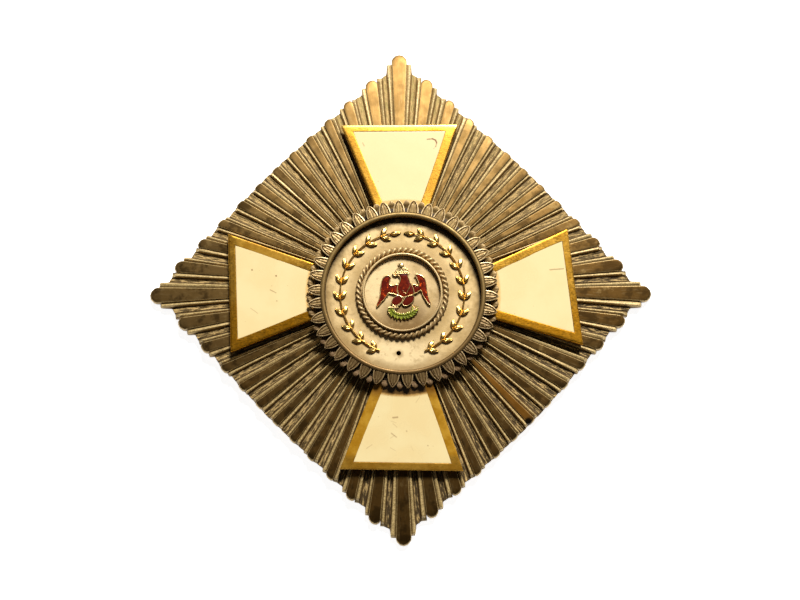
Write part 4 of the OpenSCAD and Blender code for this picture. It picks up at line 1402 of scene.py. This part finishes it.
def bird(gold, red):
    """The gold plate with its cell walls, crown and ribbon, and the red enamel in the cells."""
    solid, low = Solid(), []
    wing_left, wing_right, body = (
        turned_left(curve_through(line, 3, True)) for line in (WING_LEFT, WING_RIGHT, BODY)
    )
    thighs = [oval(*thigh, 36) for thigh in THIGHS]
    for outline in (wing_left, wing_right, body, *thighs):
        plaque(solid, low, outline, GOLD_Z, GOLD_TOP)
    for outline, radius, lift in (
        (wing_left, 0.055, 0), (wing_right, 0.055, 0), (body, 0.07, 0.02),
        (thighs[0], 0.05, 0), (thighs[1], 0.05, 0),
    ):
        wires(solid, low, outline, radius, WALL_Z + lift, True, 1)
    for path, radius, lift in RUBBED_WALLS:
        wires(solid, low, path, radius, WALL_Z + lift)
    plaque(solid, low, turned_left(curve_through(CROWN, 2, True)), GOLD_Z, WALL_Z - 0.02)
    plaque(solid, low, turned_left(curve_through(BEAK, 3, True)), GOLD_Z, WALL_Z)
    for path, radius, lift in CROWN_WIRES:
        wires(solid, low, path, radius, WALL_Z + lift)
    ball(solid, low, centred((-0.08, 3.44), WALL_Z + 0.08), 0.34, 0.32)
    for spot in CROWN_BEADS:
        ball(solid, low, centred(spot, WALL_Z), 0.09, 0.8)
    for path, radius, lift in BODY_WIRES:
        wires(solid, low, path, radius, WALL_Z + lift)
    solid.mark("low", low)
    solid.piece("bird_gold", gold, "gilt", ["eagle"], 50)
    cells = Solid()
    for outline, bulge, shade in (
        (wing_left, 0.03, 0.1), (wing_right, 0.03, 0.1), (body, 0.05, 0.6),
        (thighs[0], 0.03, 0.85), (thighs[1], 0.03, 0.85),
    ):
        cell(cells, outline, bulge, shade)
    cells.piece("bird_enamel", red, "enamel_red", ["eagle_enamel"], 60)


def green_wreath(gold, green):
    """Slanting leaves in two rows along a half oval, on a gold backing with a beaded inner edge."""
    leaves = Solid()
    edge = []
    draw = random.Random(8)

    def on_oval(turn, out):
        a = radians(turn)
        x = mix(WREATH_INNER[0], WREATH_OUTER[0], out) * sin(a)
        y = -mix(WREATH_INNER[1], WREATH_OUTER[1], out) * cos(a)
        return (WREATH_C[0] + x, WREATH_C[1] + y)

    def leaf(turn, out, z):
        """A leaflet that slants outwards from the outer row, and inwards from the inner one."""
        length, width = 0.52, 0.25
        root = Vector(on_oval(turn, out))
        along = Vector(on_oval(turn + 4, out)) - root
        along.normalize()
        outward = root - Vector(WREATH_C)
        outward.normalize()
        ahead = along + outward * (1.1 if out > 0.4 else -0.9) + Vector((draw.uniform(-0.2, 0.2), 0))
        ahead.normalize()
        side = Vector((-ahead.y, ahead.x))
        rows = []
        for i in range(8):
            v = i / 7
            half = width / 2 * sin(pi * (0.1 + 0.88 * v)) + 0.008
            row = []
            for j in range(7):
                u = -1 + j / 3
                spot = root + ahead * (v * length) + side * (u * half)
                bulge = 0.10 * (1 - u * u) * sin(pi * (0.2 + 0.7 * v))
                midrib = 0.025 * (u == 0)
                row.append(centred(spot, z + bulge - midrib))
                edge.append(0.9 * (1 - smooth(0.1, 0.7, v)))
            for u in (1, -1):
                row.append(centred(root + ahead * (v * length) + side * (u * half), z - 0.1))
                edge.append(1.0)
            rows.append(row)
        leaves.rows(rows, closed=True, ends=True)

    half_turn = WREATH_HALF_TURN
    rows = []
    bed_steps = 48
    for k in range(bed_steps + 1):
        turn = mix(-half_turn + 3, half_turn - 3, k / bed_steps)
        inner, outer = on_oval(turn, 0.1), on_oval(turn, 0.9)
        middle = ((inner[0] + outer[0]) / 2, (inner[1] + outer[1]) / 2)
        rows.append([
            centred(inner, COLOUR_Z), centred(inner, COLOUR_Z + 0.06), centred(middle, COLOUR_Z + 0.09),
            centred(outer, COLOUR_Z + 0.06), centred(outer, COLOUR_Z),
        ])
        edge.extend([1.0] * 5)
    leaves.rows(rows, closed=True, ends=True)
    for out, z in ((0.55, 0.10), (0.38, 0.13)):
        for k in range(WREATH_LEAVES):
            turn = mix(-half_turn + 9, half_turn - 9, k / (WREATH_LEAVES - 1))
            leaf(turn, out, COLOUR_Z + z)
    leaves.mark("low", edge)
    leaves.piece("wreath_leaves", green, "enamel_green", ["wreath"], 60)
    solid, low = Solid(), []
    rows = []
    plate_steps = 60
    for k in range(plate_steps + 1):
        turn = mix(-half_turn, half_turn, k / plate_steps)
        inner, outer = on_oval(turn, -0.04), on_oval(turn, 1.0)
        rows.append([
            centred(inner, GOLD_Z), centred(inner, GOLD_TOP),
            centred(outer, GOLD_TOP), centred(outer, GOLD_Z),
        ])
        low.extend([0.6, 0.1, 0.1, 0.6])
    solid.rows(rows, closed=True, ends=True)
    for k in range(WREATH_BEADS):
        turn = mix(-52, 58, k / (WREATH_BEADS - 1))
        ball(solid, low, centred(on_oval(turn, 0.06), COLOUR_Z + 0.13), 0.105, 0.8)
    for tip in TUFT_TIPS:
        middle = (mix(TUFT_ROOT[0], tip[0], 0.5) + 0.05, mix(TUFT_ROOT[1], tip[1], 0.5))
        wires(solid, low, (TUFT_ROOT, middle, tip), lambda t: mix(0.11, 0.06, t), COLOUR_Z + 0.15)
    for path, radius, lift in KNOT:
        wires(solid, low, path, radius, COLOUR_Z + lift)
    solid.mark("low", low)
    solid.piece("wreath_gold", gold, "gilt", ["eagle"], 60)


# Back pin

PIN_CLEARANCE = 0.22
PIN_L = 36
PIN_R = 0.45
BLOCK_TOP = 1.03
# Outline of a block from above, as shares of its half width and half depth, with its corners cut
BLOCK_OUTLINE = (
    (-1, -0.9), (-0.95, -1), (0.95, -1), (1, -0.9), (1, 0.9), (0.95, 1), (-0.95, 1), (-1, 0.9),
)
# Section of a block's side. Columns: how far it stays inside the full size, height
BLOCK_SECTION = (
    (0.15, PIN_CLEARANCE), (0.04, PIN_CLEARANCE + 0.05), (0.0, PIN_CLEARANCE + 0.15),
    (0.0, BLOCK_TOP - 0.15), (0.04, BLOCK_TOP - 0.05), (0.12, BLOCK_TOP),
)


def back_pin(look):
    """Hinge block, pin and catch as one plain piece, with rounded edges."""
    solid = Solid()
    steps = 24
    z = PIN_CLEARANCE + PIN_R
    tube(solid, [(0, mix(-PIN_L / 2, PIN_L / 2, i / steps), z) for i in range(steps + 1)], PIN_R, 20)
    for middle_y, wide, deep in ((PIN_L / 2, 3.2, 2.0), (-PIN_L / 2, 1.8, 1.6)):
        solid.rows([
            [(x * (wide / 2 - gap), middle_y + y * (deep / 2 - gap), level) for x, y in BLOCK_OUTLINE]
            for gap, level in BLOCK_SECTION
        ], closed=True, ends=True)
    solid.piece("pin_and_catch", look, "pin", ["back_pin"], 45)


# All the pieces

def dress_cross():
    gilding = gilt_metal(
        "arm_gilding", (0.72, 0.385, 0.052), (0.55, 0.265, 0.024), (0.30, 0.12, 0.012), 0.16,
    )
    enamel = white_enamel()
    for seed, (name, row) in enumerate(ARMS.items()):
        arm = Arm(row)
        gilt_arm(name, arm, gilding, seed)
        enamel_field(name, arm, enamel, seed)


def dress_medallion():
    # The third colour is painted shade for the lower half of the trim
    pale, brown, painted_shade = (0.84, 0.62, 0.31), (0.13, 0.07, 0.02), (0.15, 0.078, 0.02)
    rim = trim_silver(
        "rim_silver", (0.31, 0.198, 0.062), (0.21, 0.13, 0.038), pale, (0.06, 0.035, 0.01), painted_shade, 0.42, 0.6,
    )
    leaves = trim_silver(
        "leaf_silver", (0.50, 0.33, 0.12), (0.31, 0.19, 0.06), pale, brown, (0.07, 0.037, 0.011), 0.38, 0.35,
    )
    pearl = trim_silver(
        "rope_silver", (0.90, 0.67, 0.33), (0.76, 0.54, 0.25), pale, (0.34, 0.22, 0.085), painted_shade, 0.36, 0.3,
    )
    gilding = gilt_metal("laurel_gilding", (0.88, 0.60, 0.20), (0.72, 0.44, 0.11), (0.20, 0.09, 0.02), 0.1)
    plain_bezel(rim)
    leaf_ring(leaves)
    laurel("right", 1, gilding)
    laurel("left", -1, gilding)
    rope(pearl)
    thin_lip(pearl)


def dress_bird():
    gilding = gilt_metal("bird_gilding", (0.95, 0.72, 0.34), (0.80, 0.54, 0.20), (0.22, 0.10, 0.03), 0.08)
    red = glass_enamel("red_enamel", (0.095, 0.006, 0.0015), (0.27, 0.022, 0.003), (0.90, 0.11, 0.008), 0.55)
    green = glass_enamel("green_enamel", (0.14, 0.16, 0.014), (0.46, 0.48, 0.05), (0.80, 0.74, 0.20), 0.3)
    bird(gilding, red)
    green_wreath(gilding, green)


def dress_discs():
    """The two plain discs keep the solids' shape and get a finish."""
    wide_disc = matt_silver("disc_silver", (0.76, 0.55, 0.26), (0.56, 0.38, 0.15), (
        ((0.4, -8.6), 2.6, 5.6, (1, 0), (0.84, 0.645, 0.345)),
        (MEDALLION, 8.6, 9.8, (0, 0.75), (0.34, 0.21, 0.07)),
        # Painted shadow of the rim along the top edge of the disc
        ((0.3, -1.5), 9.4, 10.5, (0, 0.95), (0.05, 0.028, 0.008)),
        # Browner round the rope: tarnish, with the rope's painted shadow in it
        (CENTRE, 6.2, 7.2, (0.5, 0), (0.36, 0.23, 0.08)),
        ((4.2, -5.4), 0.5, 4.5, (0.4, 0), (0.42, 0.27, 0.09)),
        ((-0.14, -8.3), 0.2, 0.75, (0.75, 0), (0.30, 0.19, 0.06)),
    ))
    small_disc = matt_silver("centre_silver", (0.68, 0.49, 0.245), (0.50, 0.345, 0.145), (
        (CENTRE, 3.9, 4.8, (0, 0.6), (0.30, 0.19, 0.07)),
        ((-2.6, 1.4), 2.2, 5.4, (0.8, 0), (0.82, 0.63, 0.33)),
        # Browner below the wreath: tarnish, with the wreath's painted shadow in it
        ((0.6, -4.6), 1.6, 4.6, (0.9, 0), (0.195, 0.108, 0.028)),
    ))
    for node, look in (("medallion_disc", wide_disc), ("centre_disc", small_disc)):
        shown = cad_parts[node]
        shown.data.materials.clear()
        shown.data.materials.append(look)


star_rays()
dress_cross()
dress_medallion()
dress_bird()
back_pin(pin_metal())
dress_discs()


# Camera, light and floor

def camera(tilt, lens, place):
    """A camera that stands over the star and leans by tilt degrees towards its top point."""
    data = bpy.data.cameras.new("camera")
    data.lens = lens
    data.sensor_width = 36
    data.clip_start = 0.01
    data.clip_end = 10
    made = bpy.data.objects.new("camera", data)
    bpy.context.scene.collection.objects.link(made)
    made.location = Vector(place) * MM
    made.rotation_euler = (radians(tilt), 0, 0)
    bpy.context.scene.camera = made


def panel(name, height, heading, distance, side, power, colour):
    """A soft square light that looks at the star. height is its angle above the face, in degrees."""
    data = bpy.data.lights.new(name, "AREA")
    data.shape = "RECTANGLE"
    data.size = side
    data.size_y = side
    data.energy = power
    data.color = colour
    made = bpy.data.objects.new(name, data)
    bpy.context.scene.collection.objects.link(made)
    up, turn = radians(height), radians(heading)
    spot = Vector((cos(up) * sin(turn), cos(up) * cos(turn), sin(up))) * distance
    made.location = spot
    made.rotation_euler = spot.to_track_quat("Z", "Y").to_euler()


def floor(half, below):
    """A wide sheet that lies a hair below the star's lowest points."""
    mesh = bpy.data.meshes.new("floor")
    corners = [(-half, -half, 0), (half, -half, 0), (half, half, 0), (-half, half, 0)]
    mesh.from_pydata(corners, [], [(0, 1, 2, 3)])
    mesh.materials.append(pale_paper())
    made = bpy.data.objects.new("floor", mesh)
    bpy.context.scene.collection.objects.link(made)
    made.location = (0, 0, -below)


def room_light(colour, strength):
    """Dim even light from all round, and plain colours in the picture."""
    world = bpy.data.worlds.new("world")
    world.use_nodes = True
    background = world.node_tree.nodes["Background"]
    background.inputs["Color"].default_value = (*colour, 1)
    background.inputs["Strength"].default_value = strength
    bpy.context.scene.world = world
    bpy.context.scene.view_settings.view_transform = "Standard"
    bpy.context.scene.view_settings.look = "None"


camera(tilt=10.8, lens=61.02, place=(0.02, -33.94, 174.21))
panel("key", height=46, heading=15, distance=0.9, side=0.2, power=13.2, colour=(1.0, 0.99, 0.97))
floor(half=1.5, below=0.00002)
room_light(colour=(1, 0.97, 0.92), strength=0.05)
